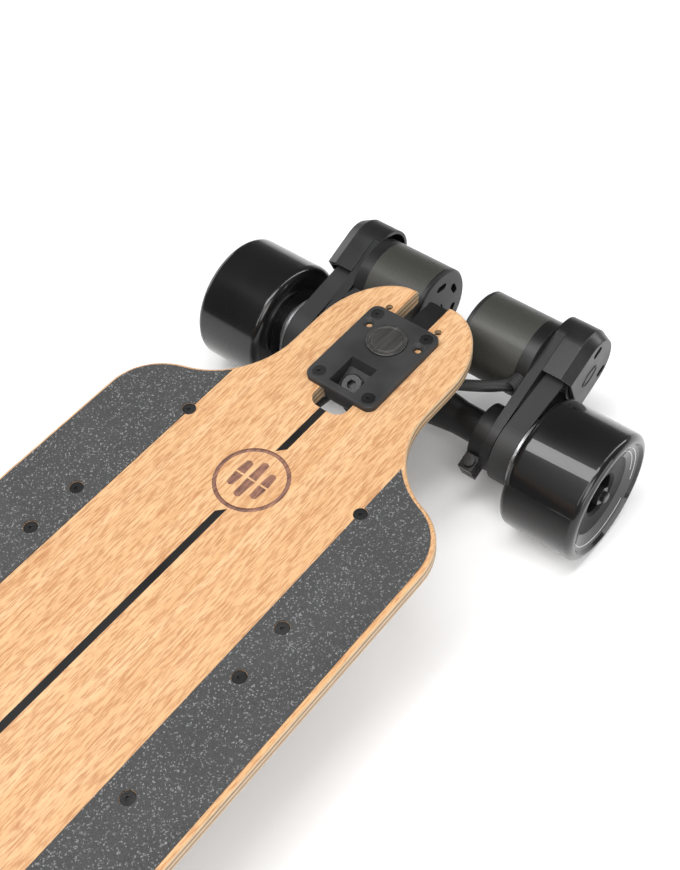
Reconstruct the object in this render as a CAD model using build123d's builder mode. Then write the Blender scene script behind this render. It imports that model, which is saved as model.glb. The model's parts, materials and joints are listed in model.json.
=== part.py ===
"""Electric skateboard: drop-through bamboo deck, double-kingpin trucks, twin belt-drive motors.

Row frame, millimetres: +X to the nose, +Y to the rider's left, +Z up. The origin is on the
ground under the middle of the whole board's box. Sides are named as seen from above with the
nose ahead. The rear truck is drawn, and the front truck is the same one turned half a turn.
"""
from build123d import *
from math import acos, asin, cos, degrees, hypot, pi, radians, sin
import os

os.makedirs("parts", exist_ok=True)

# ---- deck ---------------------------------------------------------------------------------
deck_length = 965.0
deck_half_width = 129.0
neck_half_width = 56.5
deck_thickness = 12.5
deck_edge_round = 3.0
tip_half_width = 17.0          # the flat end of each tip
tip_length = 57.0              # from the tip to where the neck is parallel
neck_end = 86.5                # from the tip to where the deck starts to widen
flare_radius = 65.0            # hollow curve out of the neck
shoulder_radius = 44.4         # rounded curve into the wide part
wing_rise = 5.0                # how far the wide part's edges are lifted
strip_half_width = 70.9        # flat bamboo strip between the two grip panels
grip_thickness = 0.9
grip_margin = 3.4              # bare wood outside the grip panels
slot_width = 28.0              # gap in each tip that the truck drops into
slot_end = 123.0               # from the tip to the slot's closed end
slot_corner = 9.0
stripe_width = 5.4
stripe_depth = 0.8
stripe_end = 168.0             # from the tip to the end of the short stripe
stripe_gap = 52.0              # bare wood between the short and the long stripe
stripe_slant = 5.5

# ---- trucks -------------------------------------------------------------------------------
truck_inset = 69.5             # from the tip to the middle of the truck's plate
wheel_radius = 48.5
axle_setback = 40.2            # the axle stands this far outside the plate's middle
axle_drop = 69.2               # deck top to axle
plate_length = 79.0
plate_width = 56.6
plate_thickness = 4.6
plate_corner = 6.5
plate_edge = 0.8
bolt_spacing_x = 63.5
bolt_spacing_y = 41.3
bolt_radius = 2.4
bolt_head_radius = 4.85
bolt_clearance = 0.2
spare_plate_hole = -22.15      # from the plate's middle
spare_deck_hole = -44.85
spare_hole_radius = 2.5
nut_height = 4.5
nut_radius = 5.3
stem_half_width = 13.0         # the part of the baseplate inside the slot
pocket_start = 8.7
pocket_end = 34.0
pocket_half_width = 10.5
badge_radius = 14.0
badge_x = -15.0
badge_height = 1.4
badge_sink = 0.6

kingpin_tilt = 25.0            # kingpins lean this far from upright
ring_x = 12.0                  # inner ring's middle, from the plate's middle
ring_drop = 28.8               # inner ring's middle, under the deck's top
axle_rake = 20.0               # axle from the outer kingpin, along the lean axis
axle_below_ring = 18.7         # axle from the outer ring, along the kingpin
kingpin_radius = 5.0
kingpin_head_radius = 7.6
kingpin_head_height = 5.0
kingpin_socket_radius = 3.4
kingpin_clearance = 0.1
ring_radius = 15.0
ring_half_height = 6.0
ring_bore = 7.2
bushing_radius = 11.5
bushing_height = 11.0
bushing_gap = 0.3
nut_gap = 0.05                 # between the washer and the lock nut
seat_thickness = 6.5
washer_radius = 11.0
washer_height = 2.0
locknut_radius = 8.4
locknut_height = 7.0
nose_radius = 6.0
nose_reach = 34.0              # pivot nose's tip from the kingpin
cup_wall = 2.2
cup_mouth = 24.5               # cup's mouth from the kingpin
cup_back = 35.5
housing_wall = 2.6
housing_back = 38.0
running_clearance = 0.05
arm_half_width = 11.0
hanger_radius = 12.5
hanger_half_length = 83.5
hanger_flare = 16.5
relief_width = 12.4            # half widths of the room around the outer kingpin
relief_length = 17.5
axle_radius = 4.0
axle_half_length = 164.0

# ---- wheels -------------------------------------------------------------------------------
wheel_inner_y = 108.3
wheel_width = 57.7
wheel_edge_round = 5.0
lip_radius = 40.5              # inside of the wheel's raised outer lip
lip_depth = 2.2
dish_depth = 6.0
core_radius = 30.0
hub_recess_radius = 15.0
bearing_radius = 11.0
bearing_width = 7.0
bearing_step_radius = 9.0
inner_bearing_inset = 8.0
outer_bearing_inset = 15.0     # from the wheel's outer face to the bearing's outer face
axle_nut_radius = 7.4
axle_nut_height = 8.0
nut_play = 0.3                 # the wheel's side play under its axle nut
speed_ring_height = 1.2

# ---- drive --------------------------------------------------------------------------------
belt_pitch = 5.0
wheel_pulley_teeth = 32
motor_pulley_teeth = 16
belt_width = 15.0
belt_inner_y = 84.9
belt_thickness = 1.5
belt_gap = 0.3                 # belt's inner face from the pulleys' tips
belt_side_gap = 0.3            # between the belt's edges and the pulleys' flanges
tooth_drop = 0.57              # pulley tips under the belt's pitch line
tooth_radius = 1.5
drive_centres = 63.7           # motor shaft to axle
drive_rise = 21.1              # degrees above level, from axle to motor shaft
motor_radius = 31.3
motor_inner_y = 18.0
motor_cap_depth = 4.0
can_wall = 2.0
motor_flange_y = 66.6
mount_inner_y = 76.0
mount_thickness = 7.5
mount_half_width = 24.0
mount_end = 18.5               # past the motor shaft
clamp_radius = 22.0
clamp_inner_y = 65.0
pinch_gap = 1.6
pinch_offset = 26.0            # pinch screw from the hanger's middle
pinch_block = 13.0
pinch_screw_radius = 2.5
motor_screw_radius = 2.0
motor_screw_circle = 17.0
stator_gap = 0.8
rotor_radius = 17.0
shaft_radius = 4.0
guard_outer_y = 106.5
guard_radius = 24.5
guard_shift = 15.0             # middle of the guard's round end, past the motor shaft
guard_mouth = 12.5
guard_wall = 2.5
guard_bevel = 8.0              # depth of the sloping rim
guard_bevel_inset = 4.0
lead_radius = 4.2
lead_bend = 22.0               # inside the leads' bends
lead_inset = 3.0               # how far a lead stands in the motor's end cap
lead_angle = 35.0              # where it leaves the cap, up from the line to the axle
lead_ear_y = 21.0
lead_ear_radius = 6.5
lead_ear_width = 5.0
lead_ear_slack = 0.2

# ---- electronics under the deck -----------------------------------------------------------
tray_length = 646.0
tray_half_width = 95.0
tray_depth = 32.0
tray_wall = 3.5
tray_corner = 30.0
boss_radius = 7.5
tray_screw_radius = 2.0
tray_screw_head_radius = 4.65
tray_screw_length = 27.0
tray_screw_rows = [(308.0, 71.5), (218.0, 85.0), (179.6, 86.0), (90.0, 86.0), (0.0, 86.0)]
cell_radius = 10.6
cell_length = 70.0
cell_pitch_x = 71.5
cell_pitch_y = 22.0
cells_long = 6
cells_wide = 6
cells_start = 132.0            # from the tray's rear end
controller_length = 96.0
controller_width = 104.0
controller_height = 21.0
fin_count = 9
fin_depth = 4.0
port_x = 262.0                 # socket and button along the tray, from its middle
button_x = 135.0
port_drop = 19.0               # under the deck's underside
port_bezel_radius = 9.0
port_body_radius = 6.5
port_bore_radius = 2.9
port_bore_depth = 9.0
cap_thickness = 2.6
button_radius = 6.0
button_clearance = 0.3
button_stand = 1.6
button_length = 7.0

# ---- places worked out from the sizes above -----------------------------------------------
u_cos = cos(radians(drive_rise))
u_sin = sin(radians(drive_rise))
rear_reach = axle_setback + (drive_centres + guard_shift) * u_cos + guard_radius
front_reach = axle_setback + wheel_radius
plate_spacing = deck_length - 2 * truck_inset
box_length = rear_reach + plate_spacing + front_reach
rear_x = rear_reach - box_length / 2
middle_x = rear_x + plate_spacing / 2
axle_z = wheel_radius
deck_z = axle_z + axle_drop
deck_under_z = deck_z - deck_thickness
axle_x = rear_x - axle_setback
motor_x = axle_x - drive_centres * u_cos
motor_z = axle_z + drive_centres * u_sin

lean_cos = cos(radians(kingpin_tilt))
lean_sin = sin(radians(kingpin_tilt))
along = Vector(lean_cos, 0, -lean_sin)       # lean axis, down towards the board's middle
upward = Vector(lean_sin, 0, lean_cos)       # along a kingpin, up
inner_ring = Vector(rear_x + ring_x, 0, deck_z - ring_drop)
outer_ring = Vector(axle_x, 0, axle_z) - along * axle_rake + upward * axle_below_ring
ring_gap = outer_ring - inner_ring
outer_a = ring_gap.dot(along)                # outer ring seen from the inner ring
outer_n = ring_gap.dot(upward)

bushing_top = ring_half_height + bushing_gap + bushing_height
seat_top = bushing_top + seat_thickness
locknut_top = bushing_top + washer_height
kingpin_end = locknut_top + locknut_height

middle_plane = Plane(origin=(middle_x, 0, 0), x_dir=(1, 0, 0), z_dir=(0, 0, 1))
deck_plane = middle_plane.offset(deck_z)
under_plane = middle_plane.offset(deck_under_z)
cross_plane = Plane(origin=(middle_x, 0, deck_z), x_dir=(0, 1, 0), z_dir=(1, 0, 0))


def lean_plane(centre):
    """Side view plane at a ring: local x along the lean axis, local y up the kingpin."""
    return Plane(origin=centre, x_dir=along, z_dir=(0, -1, 0))


def kingpin_plane(centre, height=0.0):
    """Plane square to a kingpin, this far up it from the ring's middle."""
    return Plane(origin=centre + upward * height, x_dir=(0, 1, 0), z_dir=upward)


def nose_plane(centre, reach):
    """Plane square to the lean axis, this far out from the kingpin, looking outwards."""
    return Plane(origin=centre - along * reach, x_dir=(0, 1, 0), z_dir=along * -1)


def drive_plane(y, x=None, z=None):
    """Plane square to the axles at this y: local x from the motor shaft to the axle."""
    centre = (motor_x if x is None else x, y, motor_z if z is None else z)
    return Plane(origin=centre, x_dir=(u_cos, 0, -u_sin), z_dir=(0, 1, 0))


def axle_plane(y):
    """Plane square to the rear axle at this y, centred on it."""
    return drive_plane(y, axle_x, axle_z)


def front_copy(part):
    """The same piece on the front truck: half a turn about the middle of the deck."""
    with BuildPart() as piece:
        with Locations(Location((2 * middle_x, 0, 0), (0, 0, 180))):
            add(part)
    return piece.part


def side_copy(part):
    """The same piece on the other side of the board."""
    with BuildPart() as piece:
        mirror(part, about=Plane.XZ)
    return piece.part


# ---- deck, grip, stripe -------------------------------------------------------------------
flare_angle = degrees(acos(1 - (deck_half_width - neck_half_width) / (flare_radius + shoulder_radius)))
wing_width = deck_half_width - strip_half_width
wing_radius = (wing_width ** 2 + wing_rise ** 2) / (2 * wing_rise)
wing_angle = degrees(asin(wing_width / wing_radius)) + 2.0
tip_x = -deck_length / 2


def wing_lift(y):
    """How far the deck's top is lifted at this distance from the middle."""
    out = max(0.0, abs(y) - strip_half_width)
    return wing_radius - (wing_radius ** 2 - out ** 2) ** 0.5


def section(bottom, top):
    """Cross section of a layer between two heights above the deck's top, wings included."""
    with BuildSketch() as layer:
        with BuildLine():
            Line((0, bottom), (0, top))
            Line((0, top), (strip_half_width, top))
            over = JernArc((strip_half_width, top), (1, 0), wing_radius - top, wing_angle)
            Line((0, bottom), (strip_half_width, bottom))
            under = JernArc((strip_half_width, bottom), (1, 0), wing_radius - bottom, wing_angle)
            Line(over @ 1, under @ 1)
        make_face()
        mirror(about=Plane.YZ)
    return layer.sketch


with BuildSketch() as outline:
    with BuildLine():
        neck_x = tip_x + tip_length
        tip_round = neck_half_width - tip_half_width
        Line((tip_x, 0), (tip_x, tip_half_width))
        Bezier(
            (tip_x, tip_half_width),
            (tip_x, tip_half_width + 0.5 * tip_round),
            (neck_x - 0.55 * tip_length, neck_half_width),
            (neck_x, neck_half_width),
        )
        Line((neck_x, neck_half_width), (tip_x + neck_end, neck_half_width))
        hollow = JernArc((tip_x + neck_end, neck_half_width), (1, 0), flare_radius, flare_angle)
        shoulder = JernArc(hollow @ 1, hollow % 1, shoulder_radius, -flare_angle)
        Line(shoulder @ 1, (0, deck_half_width))
        mirror(about=Plane.YZ)
        mirror(about=Plane.XZ)
    make_face()

with BuildSketch() as slots:
    for end in (-1, 1):
        with Locations((end * (deck_length / 2 - slot_end / 2), 0)):
            Rectangle(slot_end, slot_width)
    closed_ends = slots.vertices().sort_by(lambda v: abs(v.X))[:4]
    fillet(closed_ends, slot_corner)

stripe_ends = [
    (tip_x + slot_end, tip_x + stripe_end),
    (tip_x + stripe_end + stripe_gap, -tip_x - stripe_end - stripe_gap),
    (-tip_x - stripe_end, -tip_x - slot_end),
]
with BuildSketch() as stripes:
    half = stripe_width / 2
    for i, (low, high) in enumerate(stripe_ends):
        low_slant = 0 if i == 0 else stripe_slant
        high_slant = 0 if i == 2 else stripe_slant
        with BuildLine():
            Polyline((low, half), (high - high_slant, half), (high, -half), (low + low_slant, -half),
                     close=True)
        make_face()

screw_places = [(sx * x, sy * y)
                for x, y in tray_screw_rows for sx in ((-1, 1) if x else (1,)) for sy in (-1, 1)]
truck_bolts = [
    (end * (deck_length / 2 - truck_inset) + dx * bolt_spacing_x / 2, dy * bolt_spacing_y / 2)
    for end in (-1, 1) for dx in (-1, 1) for dy in (-1, 1)
]
spare_holes = [(end * (deck_length / 2 - truck_inset - spare_deck_hole), dy * bolt_spacing_y / 2)
               for end in (-1, 1) for dy in (-1, 1)]


def countersunk(places, top_z, depth, shank, head, socket=0.0, slack=0.0):
    """Countersunk screws, or their holes when slack is given, standing down from top_z."""
    with BuildPart() as screws:
        for x, y in places:
            lift = wing_lift(y)
            with BuildSketch(middle_plane.offset(top_z + lift)):
                with Locations((x, y)):
                    Circle(head + slack)
            extrude(amount=-(head - shank), taper=45)
            if slack:                            # the hole stays open up through the sloping top
                with BuildSketch(middle_plane.offset(top_z + lift)):
                    with Locations((x, y)):
                        Circle(head + slack)
                extrude(amount=wing_rise)
            with BuildSketch(middle_plane.offset(top_z + lift)):
                with Locations((x, y)):
                    Circle(shank + slack)
            extrude(amount=-depth)
            if socket:
                with BuildSketch(middle_plane.offset(top_z + lift)):
                    with Locations((x, y)):
                        RegularPolygon(socket, 6)
                extrude(amount=-socket, mode=Mode.SUBTRACT)
    return screws.part


tray_screw_holes = countersunk(screw_places, deck_z, deck_thickness + tray_screw_length,
                               tray_screw_radius, tray_screw_head_radius, slack=bolt_clearance)

deck_section = section(-deck_thickness, 0)
grip_section = section(0, grip_thickness)
blank_section = section(-deck_thickness, 2.0)

with BuildPart() as deck:
    with BuildSketch(cross_plane):
        add(deck_section)
    extrude(amount=deck_length / 2, both=True)
    with BuildSketch(middle_plane):
        add(outline.sketch)
    extrude(amount=2 * deck_z, mode=Mode.INTERSECT)
    straight = deck.edges().filter_by(GeomType.LINE)
    seams = straight.filter_by(lambda e: abs(abs(e.center().Y) - strip_half_width) < 0.01)
    rim = deck.edges().filter_by(lambda e: abs(e.tangent_at(0.5).Z) < 0.5) - seams
    fillet(rim, deck_edge_round)
    with BuildSketch(middle_plane):
        add(slots.sketch)
    extrude(amount=2 * deck_z, mode=Mode.SUBTRACT)
    with BuildSketch(deck_plane):
        add(stripes.sketch)
    extrude(amount=-stripe_depth, mode=Mode.SUBTRACT)
    with BuildSketch(deck_plane):
        with Locations(*truck_bolts):
            Circle(bolt_radius + bolt_clearance)
        with Locations(*spare_holes):
            Circle(spare_hole_radius)
    extrude(amount=-2 * deck_thickness, mode=Mode.SUBTRACT)
    add(tray_screw_holes, mode=Mode.SUBTRACT)
deck.part.label = "deck"
export_step(deck.part, "parts/deck.step")

with BuildPart() as grip_tape:
    with BuildSketch(cross_plane):
        add(grip_section)
    extrude(amount=deck_length / 2, both=True)
    with BuildSketch(middle_plane):
        add(outline.sketch)
        offset(amount=-grip_margin, mode=Mode.REPLACE)
        Rectangle(deck_length, 2 * strip_half_width, mode=Mode.SUBTRACT)
    extrude(amount=2 * deck_z, mode=Mode.INTERSECT)
    for x, y in screw_places:
        with BuildSketch(deck_plane):
            with Locations((x, y)):
                Circle(tray_screw_head_radius + bolt_clearance)
        extrude(amount=wing_rise, mode=Mode.SUBTRACT)
grip_tape.part.label = "grip_tape"
export_step(grip_tape.part, "parts/grip_tape.step")

with BuildPart() as centre_stripe:
    with BuildSketch(deck_plane):
        add(stripes.sketch)
    extrude(amount=-stripe_depth)
centre_stripe.part.label = "centre_stripe"
export_step(centre_stripe.part, "parts/centre_stripe.step")


# ---- truck stages: what the two leaning joints of a truck share ---------------------------
def cup_socket(centre):
    """Hole for a pivot cup, in the piece that holds it."""
    with BuildPart() as hole:
        with BuildSketch(nose_plane(centre, cup_mouth)):
            Circle(nose_radius + cup_wall)
        extrude(amount=cup_back - cup_mouth)
    return hole.part


def pivot_cup(centre):
    """Plastic cup that the round pivot nose turns in."""
    bore = nose_radius + running_clearance
    with BuildPart() as cup:
        with BuildSketch(nose_plane(centre, cup_mouth)):
            Circle(nose_radius + cup_wall)
        extrude(amount=cup_back - cup_mouth)
        with BuildSketch(nose_plane(centre, cup_mouth)):
            Circle(bore)
        extrude(amount=nose_reach - nose_radius - cup_mouth, mode=Mode.SUBTRACT)
        with Locations(Location(centre - along * (nose_reach - nose_radius))):
            Sphere(bore, mode=Mode.SUBTRACT)
    return cup.part


def ring_and_nose(centre):
    """Ring around the kingpin, with the pivot nose that stands out of it."""
    with BuildPart() as ring:
        with BuildSketch(kingpin_plane(centre, -ring_half_height)):
            Circle(ring_radius)
        extrude(amount=2 * ring_half_height)
        chamfer(ring.edges().filter_by(GeomType.CIRCLE), 1.0)
        with BuildSketch(nose_plane(centre, 0)):
            Circle(nose_radius)
        extrude(amount=nose_reach - nose_radius)
        with Locations(Location(centre - along * (nose_reach - nose_radius))):
            Sphere(nose_radius)
        with BuildSketch(kingpin_plane(centre, -ring_half_height)):
            Circle(ring_bore)
        extrude(amount=2 * ring_half_height, mode=Mode.SUBTRACT)
    return ring.part


def kingpin_set(centre):
    """Kingpin with its washer under the lower bushing and its lock nut."""
    with BuildPart() as pin:
        with BuildSketch(kingpin_plane(centre, -kingpin_end)):
            Circle(kingpin_radius)
        extrude(amount=kingpin_end + seat_top)
        with BuildSketch(kingpin_plane(centre, seat_top)):
            Circle(kingpin_head_radius)
        extrude(amount=kingpin_head_height)
        top = pin.faces().sort_by(Axis(centre, upward))[-1]
        chamfer(top.edges(), 0.8)
        with BuildSketch(kingpin_plane(centre, seat_top + kingpin_head_height)):
            RegularPolygon(kingpin_socket_radius, 6)
        extrude(amount=-kingpin_head_height + 1.0, mode=Mode.SUBTRACT)
    with BuildPart() as washer:
        with BuildSketch(kingpin_plane(centre, -locknut_top)):
            Circle(washer_radius)
            Circle(kingpin_radius + kingpin_clearance, mode=Mode.SUBTRACT)
        extrude(amount=washer_height)
    with BuildPart() as locknut:
        with BuildSketch(kingpin_plane(centre, -kingpin_end)):
            RegularPolygon(locknut_radius, 6)
            Circle(kingpin_radius + kingpin_clearance, mode=Mode.SUBTRACT)
        extrude(amount=locknut_height - nut_gap)
    return Compound(children=[pin.part, washer.part, locknut.part])


def bushing_pair(centre):
    """The two rubber bushings above and below a ring, the lower one tapered."""
    with BuildPart() as pair:
        with BuildSketch(kingpin_plane(centre, ring_half_height + bushing_gap)):
            Circle(bushing_radius)
        extrude(amount=bushing_height)
        with BuildSketch(kingpin_plane(centre, -ring_half_height - bushing_gap)):
            Circle(bushing_radius)
        extrude(amount=-bushing_height, taper=12)
        with BuildSketch(kingpin_plane(centre, -kingpin_end)):
            Circle(kingpin_radius + kingpin_clearance)
        extrude(amount=2 * kingpin_end, mode=Mode.SUBTRACT)
    return pair.part


def stage_profile(top_points):
    """Side view of a seat and its cup housing, closed over the top by the given points."""
    housing_radius = nose_radius + cup_wall + housing_wall
    seat_end = bushing_radius + 3.0
    return [
        (-housing_back, -housing_radius + 2.0), (-housing_back + 2.0, -housing_radius),
        (-cup_mouth, -housing_radius), (-cup_mouth, bushing_top), (seat_end, bushing_top),
    ] + top_points


def kingpin_hole(centre):
    """Hole for a kingpin through its seat."""
    with BuildPart() as hole:
        with BuildSketch(kingpin_plane(centre, bushing_top)):
            Circle(kingpin_radius + kingpin_clearance)
        extrude(amount=seat_thickness)
    return hole.part


# ---- baseplates ---------------------------------------------------------------------------
def seen_from_ring(x, z):
    """A point given from the plate's middle on the deck's top, in the inner lean plane."""
    step = Vector(rear_x + x, 0, deck_z + z) - inner_ring
    return (step.dot(along), step.dot(upward))


inner_socket = cup_socket(inner_ring)
outer_socket = cup_socket(outer_ring)
inner_pin_hole = kingpin_hole(inner_ring)
outer_pin_hole = kingpin_hole(outer_ring)
inner_ring_part = ring_and_nose(inner_ring)
outer_ring_part = ring_and_nose(outer_ring)

with BuildPart() as rear_baseplate:
    with BuildSketch(Plane(origin=(rear_x, 0, deck_z), z_dir=(0, 0, 1))):
        RectangleRounded(plate_length, plate_width, plate_corner)
    extrude(amount=plate_thickness)
    chamfer(rear_baseplate.faces().sort_by(Axis.Z)[-1].edges(), plate_edge)
    with BuildSketch(lean_plane(inner_ring)):
        with BuildLine():
            Polyline(*stage_profile([
                (bushing_radius + 3.0, seat_top),
                seen_from_ring(pocket_end + 2.5, -seat_top / 2),
                seen_from_ring(pocket_end + 2.5, 0.5), seen_from_ring(-32.0, 0.5),
            ]), close=True)
        make_face()
    extrude(amount=stem_half_width, both=True)
    with BuildSketch(lean_plane(inner_ring)):
        with BuildLine():
            Polyline(
                (-bushing_radius, seat_top), (bushing_radius + 20.0, seat_top),
                seen_from_ring(pocket_end, plate_thickness + 5.0),
                seen_from_ring(pocket_start, plate_thickness + 5.0),
                seen_from_ring(pocket_start, plate_thickness), close=True,
            )
        make_face()
        with BuildLine():
            Polyline(
                seen_from_ring(pocket_end, plate_thickness + 30.0), seen_from_ring(pocket_end, -60.0),
                seen_from_ring(pocket_end + 60.0, -60.0),
                seen_from_ring(pocket_end + 60.0, plate_thickness + 30.0), close=True,
            )
        make_face(mode=Mode.SUBTRACT)
    extrude(amount=pocket_half_width, both=True, mode=Mode.SUBTRACT)
    add(inner_socket, mode=Mode.SUBTRACT)
    add(inner_pin_hole, mode=Mode.SUBTRACT)
    with BuildSketch(Plane(origin=(rear_x, 0, deck_z + plate_thickness), z_dir=(0, 0, 1))):
        with Locations((badge_x, 0)):
            Circle(badge_radius + bolt_clearance)
    extrude(amount=-badge_sink, mode=Mode.SUBTRACT)
    with Locations(Plane(origin=(rear_x, 0, deck_z + plate_thickness), z_dir=(0, 0, 1))):
        with GridLocations(bolt_spacing_x, bolt_spacing_y, 2, 2):
            CounterSinkHole(bolt_radius + bolt_clearance, bolt_head_radius + bolt_clearance,
                            plate_thickness, 90)
        with Locations((spare_plate_hole, bolt_spacing_y / 2), (spare_plate_hole, -bolt_spacing_y / 2)):
            CounterSinkHole(spare_hole_radius, bolt_head_radius, plate_thickness, 90)
rear_baseplate.part.label = "rear_baseplate"
export_step(rear_baseplate.part, "parts/rear_baseplate.step")

front_baseplate = front_copy(rear_baseplate.part)
front_baseplate.label = "front_baseplate"
export_step(front_baseplate, "parts/front_baseplate.step")

with BuildPart() as plate_badges:
    for end in (-1, 1):
        place_x = end * (deck_length / 2 - truck_inset - badge_x)
        with BuildSketch(middle_plane.offset(deck_z + plate_thickness - badge_sink)):
            with Locations((place_x, 0)):
                Circle(badge_radius)
        extrude(amount=badge_height + badge_sink)
        with BuildSketch(middle_plane.offset(deck_z + plate_thickness + badge_height)):
            with Locations((place_x, 0)):
                Circle(badge_radius - 2.0)
                Circle(badge_radius - 3.6, mode=Mode.SUBTRACT)
        extrude(amount=-0.8, mode=Mode.SUBTRACT)
plate_badges.part.label = "plate_badges"
export_step(plate_badges.part, "parts/plate_badges.step")

bolt_length = plate_thickness + deck_thickness + nut_height + 2.0
truck_screws = countersunk(truck_bolts, deck_z + plate_thickness, bolt_length,
                           bolt_radius, bolt_head_radius, socket=1.7)
truck_screws.label = "truck_screws"
export_step(truck_screws, "parts/truck_screws.step")

with BuildPart() as truck_nuts:
    with BuildSketch(under_plane):
        with Locations(*truck_bolts):
            RegularPolygon(nut_radius, 6)
        with Locations(*truck_bolts):
            Circle(bolt_radius, mode=Mode.SUBTRACT)
    extrude(amount=-nut_height)
truck_nuts.part.label = "truck_nuts"
export_step(truck_nuts.part, "parts/truck_nuts.step")

for name, maker in (("inner_kingpins", kingpin_set), ("inner_pivot_cups", pivot_cup)):
    rear_one = maker(inner_ring)
    front_one = front_copy(rear_one)
    with BuildPart() as both:
        add(rear_one.solids())
        add(front_one.solids())
    both.part.label = name
    export_step(both.part, f"parts/{name}.step")

rear_inner_bushings = bushing_pair(inner_ring)
rear_inner_bushings.label = "rear_inner_bushings"
export_step(rear_inner_bushings, "parts/rear_inner_bushings.step")
front_inner_bushings = front_copy(rear_inner_bushings)
front_inner_bushings.label = "front_inner_bushings"
export_step(front_inner_bushings, "parts/front_inner_bushings.step")

# ---- arms between the two kingpins --------------------------------------------------------
ear_place = inner_ring - along * 17.5 - upward * 8.0    # lead guides, on both sides of the arm
ear_plane = Plane(origin=ear_place, x_dir=(0, 1, 0), z_dir=(1, 0, 0))

with BuildPart() as rear_arm:
    with BuildSketch(lean_plane(outer_ring)):
        with BuildLine():
            web_start = -outer_a - cup_mouth + 2.0
            web_end = -outer_a - bushing_radius - 1.7
            Polyline(
                *stage_profile([])[:4],
                (web_end, bushing_top), (web_end, -outer_n + ring_half_height - 2.0),
                (web_start, -outer_n + ring_half_height - 2.0), (web_start, seat_top),
                (-bushing_radius - 3.0, seat_top),
                (-housing_back, nose_radius + cup_wall + housing_wall), close=True,
            )
        make_face()
    extrude(amount=arm_half_width, both=True)
    fillet(rear_arm.edges().filter_by(Axis.Y), 1.2)
    add(inner_ring_part)
    with BuildSketch(ear_plane):
        with Locations((lead_ear_y, 0), (-lead_ear_y, 0)):
            Circle(lead_ear_radius)
        Rectangle(2 * lead_ear_y, lead_ear_radius)
    extrude(amount=lead_ear_width / 2, both=True)
    with BuildSketch(kingpin_plane(inner_ring, -ring_half_height)):
        Circle(ring_bore)
    extrude(amount=2 * ring_half_height, mode=Mode.SUBTRACT)
    add(outer_socket, mode=Mode.SUBTRACT)
    add(outer_pin_hole, mode=Mode.SUBTRACT)
    with BuildSketch(ear_plane):
        with Locations((lead_ear_y, 0), (-lead_ear_y, 0)):
            Circle(lead_radius + lead_ear_slack)
    extrude(amount=lead_ear_width, both=True, mode=Mode.SUBTRACT)

# ---- hangers and axles --------------------------------------------------------------------
with BuildPart() as relief:
    with BuildSketch(kingpin_plane(outer_ring, -ring_half_height)):
        SlotOverall(2 * relief_length, 2 * relief_width)
    extrude(amount=-axle_below_ring - 2 * hanger_radius)

with BuildPart() as rear_hanger:
    with BuildSketch(Plane(origin=(axle_x, 0, axle_z), x_dir=(1, 0, 0), z_dir=(0, 1, 0))):
        Circle(hanger_radius)
    extrude(amount=hanger_half_length, both=True)
    for side in (-1, 1):
        flare_start = Plane(origin=(axle_x, side * arm_half_width, axle_z),
                            x_dir=(1, 0, 0), z_dir=(0, side, 0))
        with BuildSketch(flare_start):
            Circle(hanger_flare)
        with BuildSketch(flare_start.offset(3 * arm_half_width)):
            Circle(hanger_radius)
        loft()
    with BuildSketch(lean_plane(outer_ring)):
        with BuildLine():
            Polyline(
                (0, ring_half_height), (ring_radius, ring_half_height),
                (axle_rake + 0.7 * hanger_radius, -axle_below_ring + 0.7 * hanger_radius),
                (axle_rake + hanger_radius, -axle_below_ring),
                (axle_rake, -axle_below_ring - hanger_radius),
                (relief_width, -axle_below_ring - 0.6 * hanger_radius),
                (relief_width, -ring_half_height), (0, -ring_half_height), close=True,
            )
        make_face()
    extrude(amount=ring_radius + 3.0, both=True)
    add(relief.part, mode=Mode.SUBTRACT)
    add(outer_ring_part)
    with BuildSketch(kingpin_plane(outer_ring, -ring_half_height)):
        Circle(ring_bore)
    extrude(amount=2 * ring_half_height, mode=Mode.SUBTRACT)
    with BuildSketch(axle_plane(0)):
        Circle(axle_radius)
    extrude(amount=hanger_half_length, both=True, mode=Mode.SUBTRACT)

with BuildPart() as rear_axle:
    with BuildSketch(axle_plane(0)):
        Circle(axle_radius)
    extrude(amount=axle_half_length, both=True)
    chamfer(rear_axle.edges().filter_by(GeomType.CIRCLE), 0.8)

wheel_outer_y = wheel_inner_y + wheel_width
inner_bearing_y = wheel_inner_y + inner_bearing_inset
outer_bearing_y = wheel_outer_y - outer_bearing_inset - bearing_width
nut_y = outer_bearing_y + bearing_width + nut_play + speed_ring_height

with BuildPart() as rear_axle_nuts:
    with BuildSketch(axle_plane(nut_y)):
        RegularPolygon(axle_nut_radius, 6)
        Circle(axle_radius, mode=Mode.SUBTRACT)
    extrude(amount=axle_nut_height)
    with BuildSketch(axle_plane(nut_y)):
        Circle(axle_nut_radius - 1.0)
        Circle(axle_radius, mode=Mode.SUBTRACT)
    extrude(amount=-speed_ring_height)
    mirror(about=Plane.XZ)

arm_pieces = {
    "arm": rear_arm.part,
    "outer_kingpin": kingpin_set(outer_ring),
    "outer_bushings": bushing_pair(outer_ring),
    "outer_pivot_cup": pivot_cup(outer_ring),
    "hanger": rear_hanger.part,
    "axle": rear_axle.part,
    "axle_nuts": rear_axle_nuts.part,
}
for name, rear_piece in arm_pieces.items():
    for end, piece in (("rear", rear_piece), ("front", front_copy(rear_piece))):
        piece.label = f"{end}_{name}"
        export_step(piece, f"parts/{end}_{name}.step")

# ---- wheels -------------------------------------------------------------------------------
wheel_plane = Plane(origin=(axle_x, 0, axle_z), x_dir=(0, 1, 0), z_dir=(1, 0, 0))
wheel_axis = Axis((axle_x, 0, axle_z), (0, 1, 0))
dish_y = wheel_outer_y - dish_depth

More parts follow.
